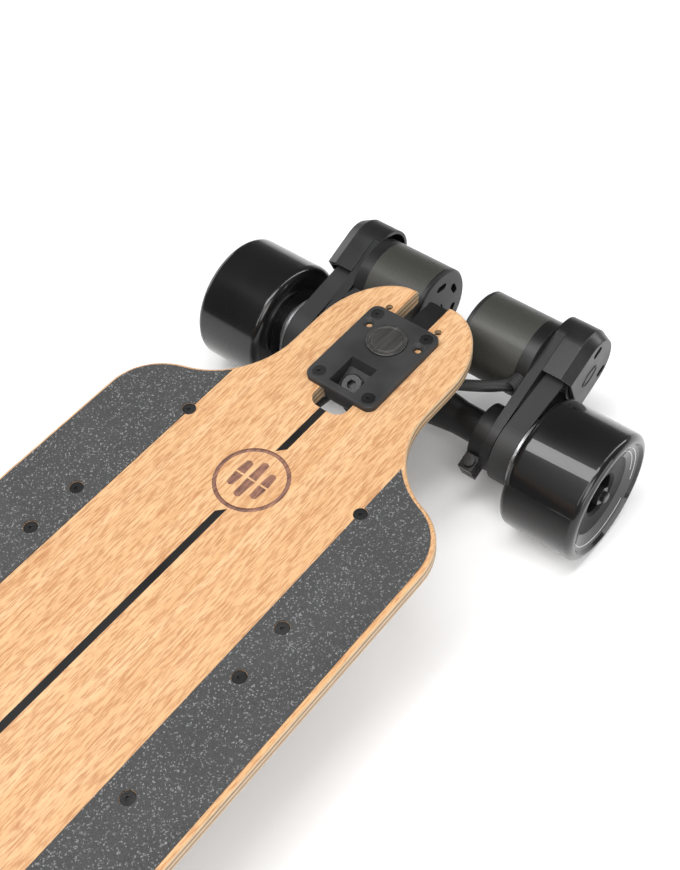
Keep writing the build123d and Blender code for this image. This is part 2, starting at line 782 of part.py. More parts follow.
with BuildPart() as tyre:
    with BuildSketch(wheel_plane):
        with BuildLine():
            Polyline(
                (wheel_inner_y, core_radius), (wheel_inner_y, wheel_radius),
                (wheel_outer_y, wheel_radius), (wheel_outer_y, lip_radius + lip_depth),
                (wheel_outer_y - lip_depth, lip_radius), (dish_y, core_radius), close=True,
            )
        make_face()
        fillet([v for v in vertices() if v.Y > wheel_radius - 0.1], wheel_edge_round)
    revolve(axis=wheel_axis)

with BuildPart() as core:
    with BuildSketch(wheel_plane):
        with BuildLine():
            Polyline(
                (wheel_inner_y, bearing_radius + 4.0), (wheel_inner_y, core_radius),
                (dish_y, core_radius),
                (dish_y - 1.0, hub_recess_radius + 2.0), (dish_y - 3.0, hub_recess_radius),
                (outer_bearing_y + bearing_width, hub_recess_radius),
                (outer_bearing_y + bearing_width, bearing_radius), (outer_bearing_y, bearing_radius),
                (outer_bearing_y, bearing_step_radius),
                (inner_bearing_y + bearing_width, bearing_step_radius),
                (inner_bearing_y + bearing_width, bearing_radius), (inner_bearing_y, bearing_radius),
                (wheel_inner_y, bearing_radius), close=True,
            )
        make_face()
    revolve(axis=wheel_axis)

with BuildPart() as bearings:
    for y in (inner_bearing_y, outer_bearing_y):
        with BuildSketch(axle_plane(y)):
            Circle(bearing_radius)
            Circle(axle_radius + running_clearance, mode=Mode.SUBTRACT)
        extrude(amount=bearing_width)

for name, left_piece in {"tyre": tyre.part, "core": core.part, "bearings": bearings.part}.items():
    right_piece = side_copy(left_piece)
    places = {
        "rear_left": left_piece, "rear_right": right_piece,
        "front_right": front_copy(left_piece), "front_left": front_copy(right_piece),
    }
    for corner, piece in places.items():
        piece.label = f"{corner}_{name}"
        export_step(piece, f"parts/{corner}_{name}.step")

# ---- belt drive ---------------------------------------------------------------------------
wheel_pitch_radius = wheel_pulley_teeth * belt_pitch / (2 * pi)
motor_pitch_radius = motor_pulley_teeth * belt_pitch / (2 * pi)


def pulley(plane, teeth, bore, width):
    """Toothed pulley with round-bottomed grooves."""
    tip = teeth * belt_pitch / (2 * pi) - tooth_drop
    with BuildPart() as wheel:
        with BuildSketch(plane):
            Circle(tip)
            with PolarLocations(tip, teeth):
                Circle(tooth_radius, mode=Mode.SUBTRACT)
            Circle(bore, mode=Mode.SUBTRACT)
        extrude(amount=width)
    return wheel.part


pulley_y = belt_inner_y - belt_side_gap
pulley_width = belt_width + 2 * belt_side_gap
hub_y = pulley_y + pulley_width
wheel_toothing = pulley(axle_plane(pulley_y), wheel_pulley_teeth, bearing_step_radius, pulley_width)
motor_toothing = pulley(drive_plane(pulley_y), motor_pulley_teeth, shaft_radius, pulley_width)

with BuildPart() as left_wheel_pulley:
    add(wheel_toothing)
    with BuildSketch(axle_plane(hub_y)):
        Circle(wheel_pitch_radius + 1.5)
        Circle(bearing_step_radius, mode=Mode.SUBTRACT)
    extrude(amount=2.0)
    with BuildSketch(axle_plane(hub_y + 2.0)):
        Circle(wheel_pitch_radius - 6.0)
        Circle(bearing_step_radius, mode=Mode.SUBTRACT)
    extrude(amount=wheel_inner_y - hub_y - 2.0)

with BuildPart() as left_motor_pulley:
    add(motor_toothing)
    with BuildSketch(drive_plane(hub_y)):
        Circle(motor_pitch_radius + 2.0)
        Circle(shaft_radius, mode=Mode.SUBTRACT)
    extrude(amount=1.2)

rotor_start = motor_inner_y + motor_cap_depth + 1.0
with BuildPart() as left_rotor:
    with BuildSketch(drive_plane(rotor_start)):
        Circle(rotor_radius)
    extrude(amount=motor_flange_y - rotor_start - 1.0)
    with BuildSketch(drive_plane(motor_inner_y + 1.0)):
        Circle(shaft_radius)
    extrude(amount=hub_y + 1.2 - motor_inner_y - 1.0)

spinning = {
    "wheel_pulley": left_wheel_pulley.part,
    "motor_pulley": left_motor_pulley.part,
    "rotor": left_rotor.part,
}
for name, left_piece in spinning.items():
    for side, piece in (("left", left_piece), ("right", side_copy(left_piece))):
        piece.label = f"{side}_{name}"
        export_step(piece, f"parts/{side}_{name}.step")


def belt_loop(spread):
    """Outline of the belt's loop, this far outside the pulleys' tips."""
    small = motor_pitch_radius - tooth_drop + spread
    large = wheel_pitch_radius - tooth_drop + spread
    lean = asin((large - small) / drive_centres)
    with BuildSketch() as loop:
        Circle(small)
        with Locations((drive_centres, 0)):
            Circle(large)
        with BuildLine():
            Polyline(
                (-small * sin(lean), small * cos(lean)),
                (drive_centres - large * sin(lean), large * cos(lean)),
                (drive_centres - large * sin(lean), -large * cos(lean)),
                (-small * sin(lean), -small * cos(lean)), close=True,
            )
        make_face()
    return loop.sketch


belt_outside = belt_loop(belt_gap + belt_thickness)
belt_inside = belt_loop(belt_gap)

with BuildPart() as drive_belts:
    with BuildSketch(drive_plane(belt_inner_y)):
        add(belt_outside)
        add(belt_inside, mode=Mode.SUBTRACT)
    extrude(amount=belt_width)
    mirror(about=Plane.XZ)
drive_belts.part.label = "drive_belts"
export_step(drive_belts.part, "parts/drive_belts.step")

screw_spots = [(motor_screw_circle * cos(a), motor_screw_circle * sin(a))
               for a in (pi / 4, 3 * pi / 4, -pi / 4, -3 * pi / 4)]
pinch_x = drive_centres + pinch_offset
pinch_half = 8.0

with BuildPart() as motor_mounts:
    with BuildSketch(drive_plane(mount_inner_y)):
        with Locations((drive_centres, 0)):
            Circle(mount_half_width)
        with Locations(((drive_centres - mount_end) / 2, 0)):
            Rectangle(drive_centres + mount_end, 2 * mount_half_width)
        Circle(shaft_radius + 3.0, mode=Mode.SUBTRACT)
        with Locations(*screw_spots):
            Circle(motor_screw_radius, mode=Mode.SUBTRACT)
    extrude(amount=mount_thickness)
    with BuildSketch(drive_plane(clamp_inner_y)):
        with Locations((drive_centres, 0)):
            Circle(clamp_radius)
        with Locations((pinch_x, 0)):
            Rectangle(pinch_block, 2 * pinch_half)
    extrude(amount=mount_inner_y - clamp_inner_y)
    with BuildSketch(drive_plane(clamp_inner_y)):
        with Locations((drive_centres, 0)):
            Circle(hanger_radius)
    extrude(amount=mount_inner_y + mount_thickness - clamp_inner_y, mode=Mode.SUBTRACT)
    with BuildSketch(drive_plane(clamp_inner_y)):
        with Locations((pinch_x, 0)):
            Rectangle(2 * pinch_offset - hanger_radius, pinch_gap)
    extrude(amount=mount_inner_y - clamp_inner_y, mode=Mode.SUBTRACT)
    clamp_middle = drive_plane((clamp_inner_y + mount_inner_y) / 2)
    pinch_plane = Plane(origin=clamp_middle.from_local_coords((pinch_x, -pinch_half, 0)),
                        x_dir=(0, 1, 0), z_dir=(-u_sin, 0, -u_cos))
    with BuildSketch(pinch_plane):
        Circle(pinch_screw_radius)
    extrude(amount=2 * pinch_half, mode=Mode.SUBTRACT)
    mirror(about=Plane.XZ)
motor_mounts.part.label = "motor_mounts"
export_step(motor_mounts.part, "parts/motor_mounts.step")

with BuildPart() as motor_cans:
    with BuildSketch(drive_plane(motor_inner_y + motor_cap_depth)):
        Circle(motor_radius)
        Circle(motor_radius - can_wall, mode=Mode.SUBTRACT)
    extrude(amount=motor_flange_y - motor_inner_y - motor_cap_depth)
    mirror(about=Plane.XZ)
motor_cans.part.label = "motor_cans"
export_step(motor_cans.part, "parts/motor_cans.step")

cap_middle = drive_plane((motor_flange_y + mount_inner_y) / 2)


def exit_point(radius):
    """Where a lead runs at this distance from the motor's shaft."""
    turn = radians(lead_angle)
    return cap_middle.from_local_coords((radius * cos(turn), -radius * sin(turn), 0))


exit_from = exit_point(motor_radius - lead_inset)
exit_to = exit_point(motor_radius + 12.0)
exit_plane = Plane(origin=exit_from, x_dir=(0, 1, 0), z_dir=exit_to - exit_from)

with BuildPart() as motor_end_caps:
    with BuildSketch(drive_plane(motor_inner_y)):
        Circle(motor_radius)
    extrude(amount=motor_cap_depth)
    chamfer(motor_end_caps.faces().sort_by(Axis.Y)[0].edges(), 1.5)
    with BuildSketch(drive_plane(motor_inner_y)):
        Circle(shaft_radius + running_clearance)
        with PolarLocations(0.62 * motor_radius, 6):
            SlotOverall(11.0, 5.0, rotation=90)
    extrude(amount=motor_cap_depth, mode=Mode.SUBTRACT)
    with BuildSketch(drive_plane(motor_flange_y)):
        Circle(motor_radius)
        Circle(shaft_radius + running_clearance, mode=Mode.SUBTRACT)
        with Locations(*screw_spots):
            Circle(motor_screw_radius, mode=Mode.SUBTRACT)
    extrude(amount=mount_inner_y - motor_flange_y)
    with BuildSketch(exit_plane):
        Circle(lead_radius)
    extrude(amount=2 * lead_inset, mode=Mode.SUBTRACT)
    mirror(about=Plane.XZ)
motor_end_caps.part.label = "motor_end_caps"
export_step(motor_end_caps.part, "parts/motor_end_caps.step")

with BuildPart() as motor_stators:
    with BuildSketch(drive_plane(rotor_start + 4.0)):
        Circle(motor_radius - can_wall)
        Circle(rotor_radius + stator_gap, mode=Mode.SUBTRACT)
        with PolarLocations(rotor_radius + stator_gap + 4.0, 12):
            SlotOverall(7.0, 3.0, mode=Mode.SUBTRACT)
    extrude(amount=motor_flange_y - rotor_start - 8.0)
    mirror(about=Plane.XZ)
motor_stators.part.label = "motor_stators"
export_step(motor_stators.part, "parts/motor_stators.step")

mount_outer_y = mount_inner_y + mount_thickness
with BuildPart() as motor_screws:
    with BuildSketch(drive_plane(motor_flange_y)):
        with Locations(*screw_spots):
            Circle(motor_screw_radius)
    extrude(amount=mount_outer_y - motor_flange_y)
    with BuildSketch(pinch_plane):
        Circle(pinch_screw_radius)
    extrude(amount=2 * pinch_half)
    with BuildSketch(pinch_plane):
        Circle(pinch_screw_radius + 2.0)
    extrude(amount=-3.0)
    mirror(about=Plane.XZ)
motor_screws.part.label = "motor_screws"
export_step(motor_screws.part, "parts/motor_screws.step")


def guard_face(inset):
    """Plan of the belt guard, this far inside its outer wall, open towards the axle."""
    radius = guard_radius - inset
    with BuildSketch() as plan:
        with Locations((-guard_shift, 0)):
            Circle(radius)
        with Locations((0, 0)):
            Rectangle(2 * guard_shift, 2 * radius)
        with Locations((guard_shift + 10.0, 0)):
            Rectangle(20.0, 2 * radius)
    return plan.sketch


guard_back_y = mount_outer_y + 0.1
bevel_y = guard_outer_y - guard_bevel
bevel_angle = degrees(asin(guard_bevel_inset / hypot(guard_bevel, guard_bevel_inset)))
guard_outside = guard_face(0)
guard_inside = guard_face(guard_wall)

with BuildPart() as belt_guards:
    with BuildSketch(drive_plane(mount_inner_y + 0.5)):
        add(guard_outside)
    extrude(amount=bevel_y - mount_inner_y - 0.5)
    with BuildSketch(drive_plane(bevel_y)):
        add(guard_outside)
    extrude(amount=guard_bevel, taper=bevel_angle)
    with BuildSketch(drive_plane(mount_inner_y + 0.5)):
        add(guard_inside)
    extrude(amount=bevel_y - mount_inner_y - 0.5 - guard_wall, mode=Mode.SUBTRACT)
    with BuildSketch(drive_plane(bevel_y - guard_wall)):
        add(guard_inside)
    extrude(amount=guard_bevel, taper=bevel_angle, mode=Mode.SUBTRACT)
    with BuildSketch(drive_plane(mount_inner_y)):
        with Locations((guard_mouth + 50.0, 0)):
            Rectangle(100.0, 100.0)
    extrude(amount=40.0, mode=Mode.SUBTRACT)
    with BuildSketch(drive_plane(mount_inner_y)):
        with Locations((50.0 - mount_end - 0.2, 0)):
            Rectangle(100.0, 100.0)
    extrude(amount=guard_back_y - mount_inner_y, mode=Mode.SUBTRACT)
    with BuildSketch(drive_plane(guard_outer_y)):
        with Locations((-20.5, -12.5), (-18.5, 14.5)):
            SlotOverall(10.0, 5.0)
    extrude(amount=-3 * guard_wall, mode=Mode.SUBTRACT)
    with BuildSketch(drive_plane(guard_outer_y)):
        with Locations((-7.0, 1.0)):
            Ellipse(9.5, 4.5)
            Ellipse(8.3, 3.4, mode=Mode.SUBTRACT)
    extrude(amount=0.5)
    mirror(about=Plane.XZ)
belt_guards.part.label = "belt_guards"
export_step(belt_guards.part, "parts/belt_guards.step")


# ---- leads --------------------------------------------------------------------------------
def lead(points):
    """A sleeved lead along straight runs joined by bends."""
    with BuildPart() as sleeve:
        with BuildLine() as path:
            FilletPolyline(*points, radius=lead_bend)
        route = path.wires()[0]
        with BuildSketch(Plane(origin=route @ 0, z_dir=route % 0)):
            Circle(lead_radius)
        sweep()
    return sleeve.part


tray_end_x = middle_x - tray_length / 2
ear_middle = ear_place + Vector(0, lead_ear_y, 0)
lead_end = Vector(tray_end_x, lead_ear_y + 9.0, deck_under_z - tray_depth / 2)
motor_lead = lead([exit_from, exit_to, ear_middle - Vector(15.0, 0, 0), ear_middle])
inner_lead = lead([ear_middle, ear_middle + Vector(30.0, 0, 0), lead_end - Vector(24.0, 0, 0), lead_end])
for name, left_piece in (("motor_leads", motor_lead), ("controller_leads", inner_lead)):
    with BuildPart() as both:
        add(left_piece)
        mirror(about=Plane.XZ)
    both.part.label = name
    export_step(both.part, f"parts/{name}.step")

# ---- tray and what it holds ---------------------------------------------------------------
wall_y = tray_half_width
port_z = deck_under_z - port_drop
with BuildPart() as deck_blank:
    with BuildSketch(cross_plane):
        add(blank_section)
    extrude(amount=deck_length / 2, both=True)

with BuildPart() as enclosure_tray:
    with BuildSketch(under_plane.offset(-tray_depth)):
        RectangleRounded(tray_length, 2 * tray_half_width, tray_corner)
    extrude(amount=tray_depth + 2.0)
    fillet(enclosure_tray.faces().sort_by(Axis.Z)[0].edges(), 8.0)
    with BuildSketch(under_plane.offset(tray_wall - tray_depth)):
        RectangleRounded(tray_length - 2 * tray_wall, 2 * (tray_half_width - tray_wall),
                         tray_corner - tray_wall)
    extrude(amount=tray_depth, mode=Mode.SUBTRACT)
    with BuildSketch(under_plane.offset(tray_wall - tray_depth)):
        with Locations(*screw_places):
            Circle(boss_radius)
    extrude(amount=tray_depth - tray_wall + 2.0)
    add(deck_blank.part, mode=Mode.SUBTRACT)
    add(tray_screw_holes, mode=Mode.SUBTRACT)
    with BuildSketch(Plane(origin=(middle_x, wall_y + 1.0, port_z), x_dir=(1, 0, 0), z_dir=(0, 1, 0))):
        with Locations((port_x, 0)):
            Circle(port_body_radius)
        with Locations((button_x, 0)):
            Circle(button_radius + button_clearance)
    extrude(amount=-tray_wall - 2.0, mode=Mode.SUBTRACT)
enclosure_tray.part.label = "enclosure_tray"
export_step(enclosure_tray.part, "parts/enclosure_tray.step")

enclosure_screws = countersunk(screw_places, deck_z, tray_screw_length,
                               tray_screw_radius, tray_screw_head_radius, socket=1.6)
enclosure_screws.label = "enclosure_screws"
export_step(enclosure_screws, "parts/enclosure_screws.step")

floor_z = deck_under_z - tray_depth + tray_wall
cells_x = middle_x - tray_length / 2 + cells_start + cells_long * cell_pitch_x / 2
with BuildPart() as battery_cells:
    with BuildSketch(Plane(origin=(cells_x, 0, floor_z + cell_radius), x_dir=(0, 1, 0), z_dir=(1, 0, 0))):
        with GridLocations(cell_pitch_y, 1, cells_wide, 1):
            Circle(cell_radius)
    row = extrude(amount=cell_length / 2, both=True)
    for i in range(cells_long):
        shift = (i - (cells_long - 1) / 2) * cell_pitch_x
        with Locations((shift, 0, 0)):
            add(row)
    add(row, mode=Mode.SUBTRACT)
battery_cells.part.label = "battery_cells"
export_step(battery_cells.part, "parts/battery_cells.step")

controller_x = tray_end_x + 18.0 + controller_length / 2
with BuildPart() as motor_controller:
    with BuildSketch(Plane(origin=(controller_x, 0, floor_z), z_dir=(0, 0, 1))):
        RectangleRounded(controller_length, controller_width, 4.0)
    extrude(amount=controller_height)
    with BuildSketch(Plane(origin=(controller_x, 0, floor_z + controller_height), z_dir=(0, 0, 1))):
        with GridLocations(1, controller_width / (fin_count + 1), 1, fin_count):
            Rectangle(controller_length, controller_width / (fin_count + 1) / 2)
    extrude(amount=-fin_depth, mode=Mode.SUBTRACT)
motor_controller.part.label = "motor_controller"
export_step(motor_controller.part, "parts/motor_controller.step")

port_plane = Plane(origin=(middle_x + port_x, wall_y, port_z), x_dir=(1, 0, 0), z_dir=(0, 1, 0))
with BuildPart() as charge_socket:
    with BuildSketch(port_plane):
        Circle(port_bezel_radius)
    extrude(amount=1.5)
    with BuildSketch(port_plane):
        Circle(port_body_radius)
    extrude(amount=-12.0)
    with BuildSketch(port_plane.offset(1.5)):
        Circle(port_bore_radius)
    extrude(amount=-port_bore_depth, mode=Mode.SUBTRACT)
charge_socket.part.label = "charge_socket"
export_step(charge_socket.part, "parts/charge_socket.step")

with BuildPart() as charge_cap:
    with BuildSketch(port_plane.offset(1.8)):
        Circle(port_bezel_radius)
        with Locations((0, -port_bezel_radius)):
            Rectangle(8.0, 6.0)
    extrude(amount=cap_thickness)
charge_cap.part.label = "charge_cap"
export_step(charge_cap.part, "parts/charge_cap.step")

button_plane = Plane(origin=(middle_x + button_x, wall_y + button_stand, port_z),
                     x_dir=(1, 0, 0), z_dir=(0, 1, 0))
with BuildPart() as power_button:
    with BuildSketch(button_plane):
        Circle(button_radius)
    extrude(amount=-button_length)
    chamfer(power_button.faces().sort_by(Axis.Y)[-1].edges(), 0.6)
power_button.part.label = "power_button"
export_step(power_button.part, "parts/power_button.step")
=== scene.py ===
"""Looks of an electric skateboard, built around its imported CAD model.

The frame gives every place: the joints say where the axles, shafts and kingpins are, and the
nodes' boxes say where the faces are. Everything is in metres, +X to the nose, +Y to the
rider's left and +Z up.
"""

import json
import logging
import math
from dataclasses import dataclass
from enum import Enum
from typing import Callable, Sequence

import bmesh
import bpy
from mathutils import Matrix, Vector


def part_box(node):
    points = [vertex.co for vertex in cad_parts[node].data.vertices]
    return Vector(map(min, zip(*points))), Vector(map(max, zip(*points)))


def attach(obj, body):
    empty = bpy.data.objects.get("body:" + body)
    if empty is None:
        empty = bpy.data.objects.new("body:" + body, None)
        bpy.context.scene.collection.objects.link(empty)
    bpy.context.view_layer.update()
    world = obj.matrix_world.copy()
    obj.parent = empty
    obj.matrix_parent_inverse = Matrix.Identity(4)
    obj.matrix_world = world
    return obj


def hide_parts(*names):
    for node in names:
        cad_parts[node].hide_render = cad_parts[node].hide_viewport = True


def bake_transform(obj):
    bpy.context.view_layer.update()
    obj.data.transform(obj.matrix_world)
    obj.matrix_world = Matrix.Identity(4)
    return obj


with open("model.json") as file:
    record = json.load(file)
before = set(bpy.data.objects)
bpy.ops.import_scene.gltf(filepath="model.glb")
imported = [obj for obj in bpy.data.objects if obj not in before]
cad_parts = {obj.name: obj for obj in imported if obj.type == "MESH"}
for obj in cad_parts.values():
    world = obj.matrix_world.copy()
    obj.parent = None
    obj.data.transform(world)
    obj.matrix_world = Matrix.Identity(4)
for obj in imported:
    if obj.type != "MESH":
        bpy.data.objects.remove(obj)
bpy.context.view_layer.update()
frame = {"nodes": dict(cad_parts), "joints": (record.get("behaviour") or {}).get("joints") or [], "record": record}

logging.basicConfig(level=logging.INFO, format="%(name)s: %(message)s")
log = logging.getLogger("skateboard")

MM = 0.001
TUBE_FACETS = 10
TUBE_STEPS = 16


class End(Enum):
    """The two ends of the board."""

    REAR = "rear"
    FRONT = "front"


class Side(Enum):
    """The rider's two sides, with the sign of their Y."""

    LEFT = 1
    RIGHT = -1

    @property
    def word(self) -> str:
        """The side's name as the CAD nodes use it."""
        return self.name.lower()


# ---- what the frame says ------------------------------------------------------------------
def joint_place(name: str) -> Vector:
    """Where a joint turns.

    Args:
        name: the joint's name in the record.

    Returns:
        A point on its axis, in the row frame.
    """
    found = next(j for j in frame["joints"] if j["name"] == name)
    return Vector(found["pos_m"])


def joint_axis(name: str) -> Vector:
    """The direction a joint turns about.

    Args:
        name: the joint's name in the record.

    Returns:
        Its unit axis.
    """
    found = next(j for j in frame["joints"] if j["name"] == name)
    return Vector(found["axis"]).normalized()


def kingpin_direction(end: End) -> Vector:
    """The way a truck's kingpins point up: square to its lean axis, in the board's side view."""
    across = joint_axis(f"{end.value}_arm_lean").cross(Vector((0, 1, 0)))
    return across if across.z > 0 else -across


# ---- meshes -------------------------------------------------------------------------------
def new_object(name: str, mesh: bpy.types.Mesh) -> bpy.types.Object:
    """Puts a mesh into the scene as an object at the origin.

    Args:
        name: the object's name.
        mesh: the mesh or curve that it shows.

    Returns:
        The new object.
    """
    piece = bpy.data.objects.new(name, mesh)
    bpy.context.scene.collection.objects.link(piece)
    return piece


def object_from_bmesh(name: str, shape: bmesh.types.BMesh, smooth: bool = True) -> bpy.types.Object:
    """Turns a finished bmesh into an object with outward normals.

    Args:
        name: the piece's name.
        shape: the bmesh, which is freed.
        smooth: whether its faces shade smoothly.

    Returns:
        The new object.
    """
    bmesh.ops.recalc_face_normals(shape, faces=shape.faces)
    for face in shape.faces:
        face.smooth = smooth
    mesh = bpy.data.meshes.new(name)
    shape.to_mesh(mesh)
    shape.free()
    return new_object(name, mesh)


def lathe(
    name: str, profile: Sequence[tuple[float, float]], place: Matrix, steps: int
) -> bpy.types.Object:
    """Turns a closed profile about the local Z axis.

    Args:
        name: the piece's name.
        profile: (radius, height) corners of a closed ring section, in metres.
        place: where the local frame stands.
        steps: how many steps go round.

    Returns:
        The turned ring.
    """
    shape = bmesh.new()
    rings = []
    for step in range(steps):
        turn = 2 * math.pi * step / steps
        ring = [shape.verts.new((r * math.cos(turn), r * math.sin(turn), h)) for r, h in profile]
        rings.append(ring)
    for here, after in zip(rings, rings[1:] + rings[:1]):
        for i in range(len(profile)):
            j = (i + 1) % len(profile)
            shape.faces.new((here[i], here[j], after[j], after[i]))
    bmesh.ops.transform(shape, matrix=place, verts=shape.verts)
    return object_from_bmesh(name, shape)


def swept_strip(
    name: str, rails: Callable[[float], Sequence[Vector]], steps: int
) -> bpy.types.Object:
    """A thin solid swept through cross sections, with a face at each end.

    Args:
        name: the piece's name.
        rails: gives a section's corners for a share of the way from 0 to 1.
        steps: how many sections there are.

    Returns:
        The strip.
    """
    shape = bmesh.new()
    sections = [[shape.verts.new(p) for p in rails(step / (steps - 1))] for step in range(steps)]
    count = len(sections[0])
    for here, after in zip(sections, sections[1:]):
        for i in range(count):
            j = (i + 1) % count
            shape.faces.new((here[i], here[j], after[j], after[i]))
    shape.faces.new(sections[0])
    shape.faces.new(list(reversed(sections[-1])))
    return object_from_bmesh(name, shape, smooth=False)


def plate(
    name: str, outline: Sequence[tuple[float, float]], z: float, thickness: float
) -> bpy.types.Object:
    """A thin flat plate with the given plan.

    Args:
        name: the piece's name.
        outline: its corners in plan, in metres.
        z: the height of its underside.
        thickness: how thick it is.

    Returns:
        The plate.
    """
    shape = bmesh.new()
    face = shape.faces.new([shape.verts.new((x, y, z)) for x, y in outline])
    grown = bmesh.ops.extrude_face_region(shape, geom=[face])
    top = [v for v in grown["geom"] if isinstance(v, bmesh.types.BMVert)]
    bmesh.ops.translate(shape, vec=(0, 0, thickness), verts=top)
    return object_from_bmesh(name, shape, smooth=False)


def tube(name: str, route: Sequence[Vector], radius: float) -> bpy.types.Object:
    """A round tube along a smooth curve through a route's control points.

    Args:
        name: the piece's name.
        route: control points of the curve, which starts and ends at the first and last.
        radius: the tube's radius.

    Returns:
        The tube as a mesh, closed at both ends.
    """
    curve = bpy.data.curves.new(name, "CURVE")
    curve.dimensions = "3D"
    curve.bevel_depth = radius
    curve.bevel_resolution = TUBE_FACETS
    curve.resolution_u = TUBE_STEPS
    curve.use_fill_caps = True
    spline = curve.splines.new("NURBS")
    spline.points.add(len(route) - 1)
    for point, place in zip(spline.points, route):
        point.co = (*place, 1.0)
    spline.order_u = 3
    spline.use_endpoint_u = True
    carrier = new_object(name, curve)
    mesh = bpy.data.meshes.new_from_object(carrier)
    bpy.data.objects.remove(carrier)
    for face in mesh.polygons:
        face.use_smooth = True
    return new_object(name, mesh)


# ---- shader trees -------------------------------------------------------------------------
class ShaderTree:
    """A node tree with short calls for the nodes that the finishes use."""

    def __init__(self, tree: bpy.types.NodeTree) -> None:
        """Keeps the tree that the calls add to."""
        self.tree = tree

    def put(self, kind: str, inputs: dict | None = None, **settings: object) -> bpy.types.Node:
        """Adds a node.

        Args:
            kind: its type, such as ShaderNodeMath.
            inputs: socket name or number to a value, or to the socket that feeds it.
            settings: the node's own settings.

        Returns:
            The node.
        """
        node = self.tree.nodes.new(kind)
        for name, value in settings.items():
            setattr(node, name, value)
        for key, value in (inputs or {}).items():
            self.feed(node.inputs[key], value)
        return node

    def feed(self, socket: bpy.types.NodeSocket, value: object) -> None:
        """Sets a socket, or links it if the value is itself a socket.

        Args:
            socket: the input to feed.
            value: a fixed value, or the socket that feeds it.
        """
        if isinstance(value, bpy.types.NodeSocket):
            self.tree.links.new(value, socket)
        else:
            socket.default_value = value

    def math(self, operation: str, *values: object) -> bpy.types.NodeSocket:
        """A math node's result for these values or sockets."""
        return self.put("ShaderNodeMath", dict(enumerate(values)), operation=operation).outputs[0]

    def between(self, value: object, low: float, high: float) -> bpy.types.NodeSocket:
        """0 below low and 1 above high, with a smooth step between."""
        inputs = {"Value": value, "From Min": low, "From Max": high}
        return self.put("ShaderNodeMapRange", inputs, interpolation_type="SMOOTHSTEP").outputs["Result"]

    def spread(self, value: object, low: float, high: float) -> bpy.types.NodeSocket:
        """A value from 0 to 1 stretched to run from low to high."""
        inputs = {"Value": value, "To Min": low, "To Max": high}
        return self.put("ShaderNodeMapRange", inputs).outputs["Result"]

    def mix(self, share: object, first: object, second: object) -> bpy.types.NodeSocket:
        """A colour between two colours.

        Args:
            share: 0 for the first and 1 for the second.
            first: the first colour.
            second: the second colour.

        Returns:
            The mixed colour.
        """
        node = self.put("ShaderNodeMix", data_type="RGBA")
        self.feed(node.inputs["Factor"], share)
        self.feed(node.inputs[6], first)
        self.feed(node.inputs[7], second)
        return node.outputs[2]

    def place(self) -> bpy.types.NodeSocket:
        """The point in the row frame, which stays on the piece as it moves."""
        return self.put("ShaderNodeTexCoord").outputs["Object"]

    def parts(self, vector: bpy.types.NodeSocket) -> tuple[bpy.types.NodeSocket, ...]:
        """A vector's X, Y and Z."""
        node = self.put("ShaderNodeSeparateXYZ", {0: vector})
        return tuple(node.outputs)

    def join(self, x: object = 0.0, y: object = 0.0, z: object = 0.0) -> bpy.types.NodeSocket:
        """A vector from three values or sockets."""
        return self.put("ShaderNodeCombineXYZ", {0: x, 1: y, 2: z}).outputs[0]

    def stretched(
        self, vector: bpy.types.NodeSocket, scale: tuple[float, float, float]
    ) -> bpy.types.NodeSocket:
        """A vector scaled by a fixed amount each way."""
        return self.put("ShaderNodeMapping", {"Vector": vector, "Scale": scale}).outputs[0]

    def noise(self, vector: object, scale: object, detail: float) -> bpy.types.NodeSocket:
        """Soft noise from 0 to 1 with this many cells a metre."""
        inputs = {"Vector": vector, "Scale": scale, "Detail": detail}
        return self.put("ShaderNodeTexNoise", inputs).outputs["Fac"]


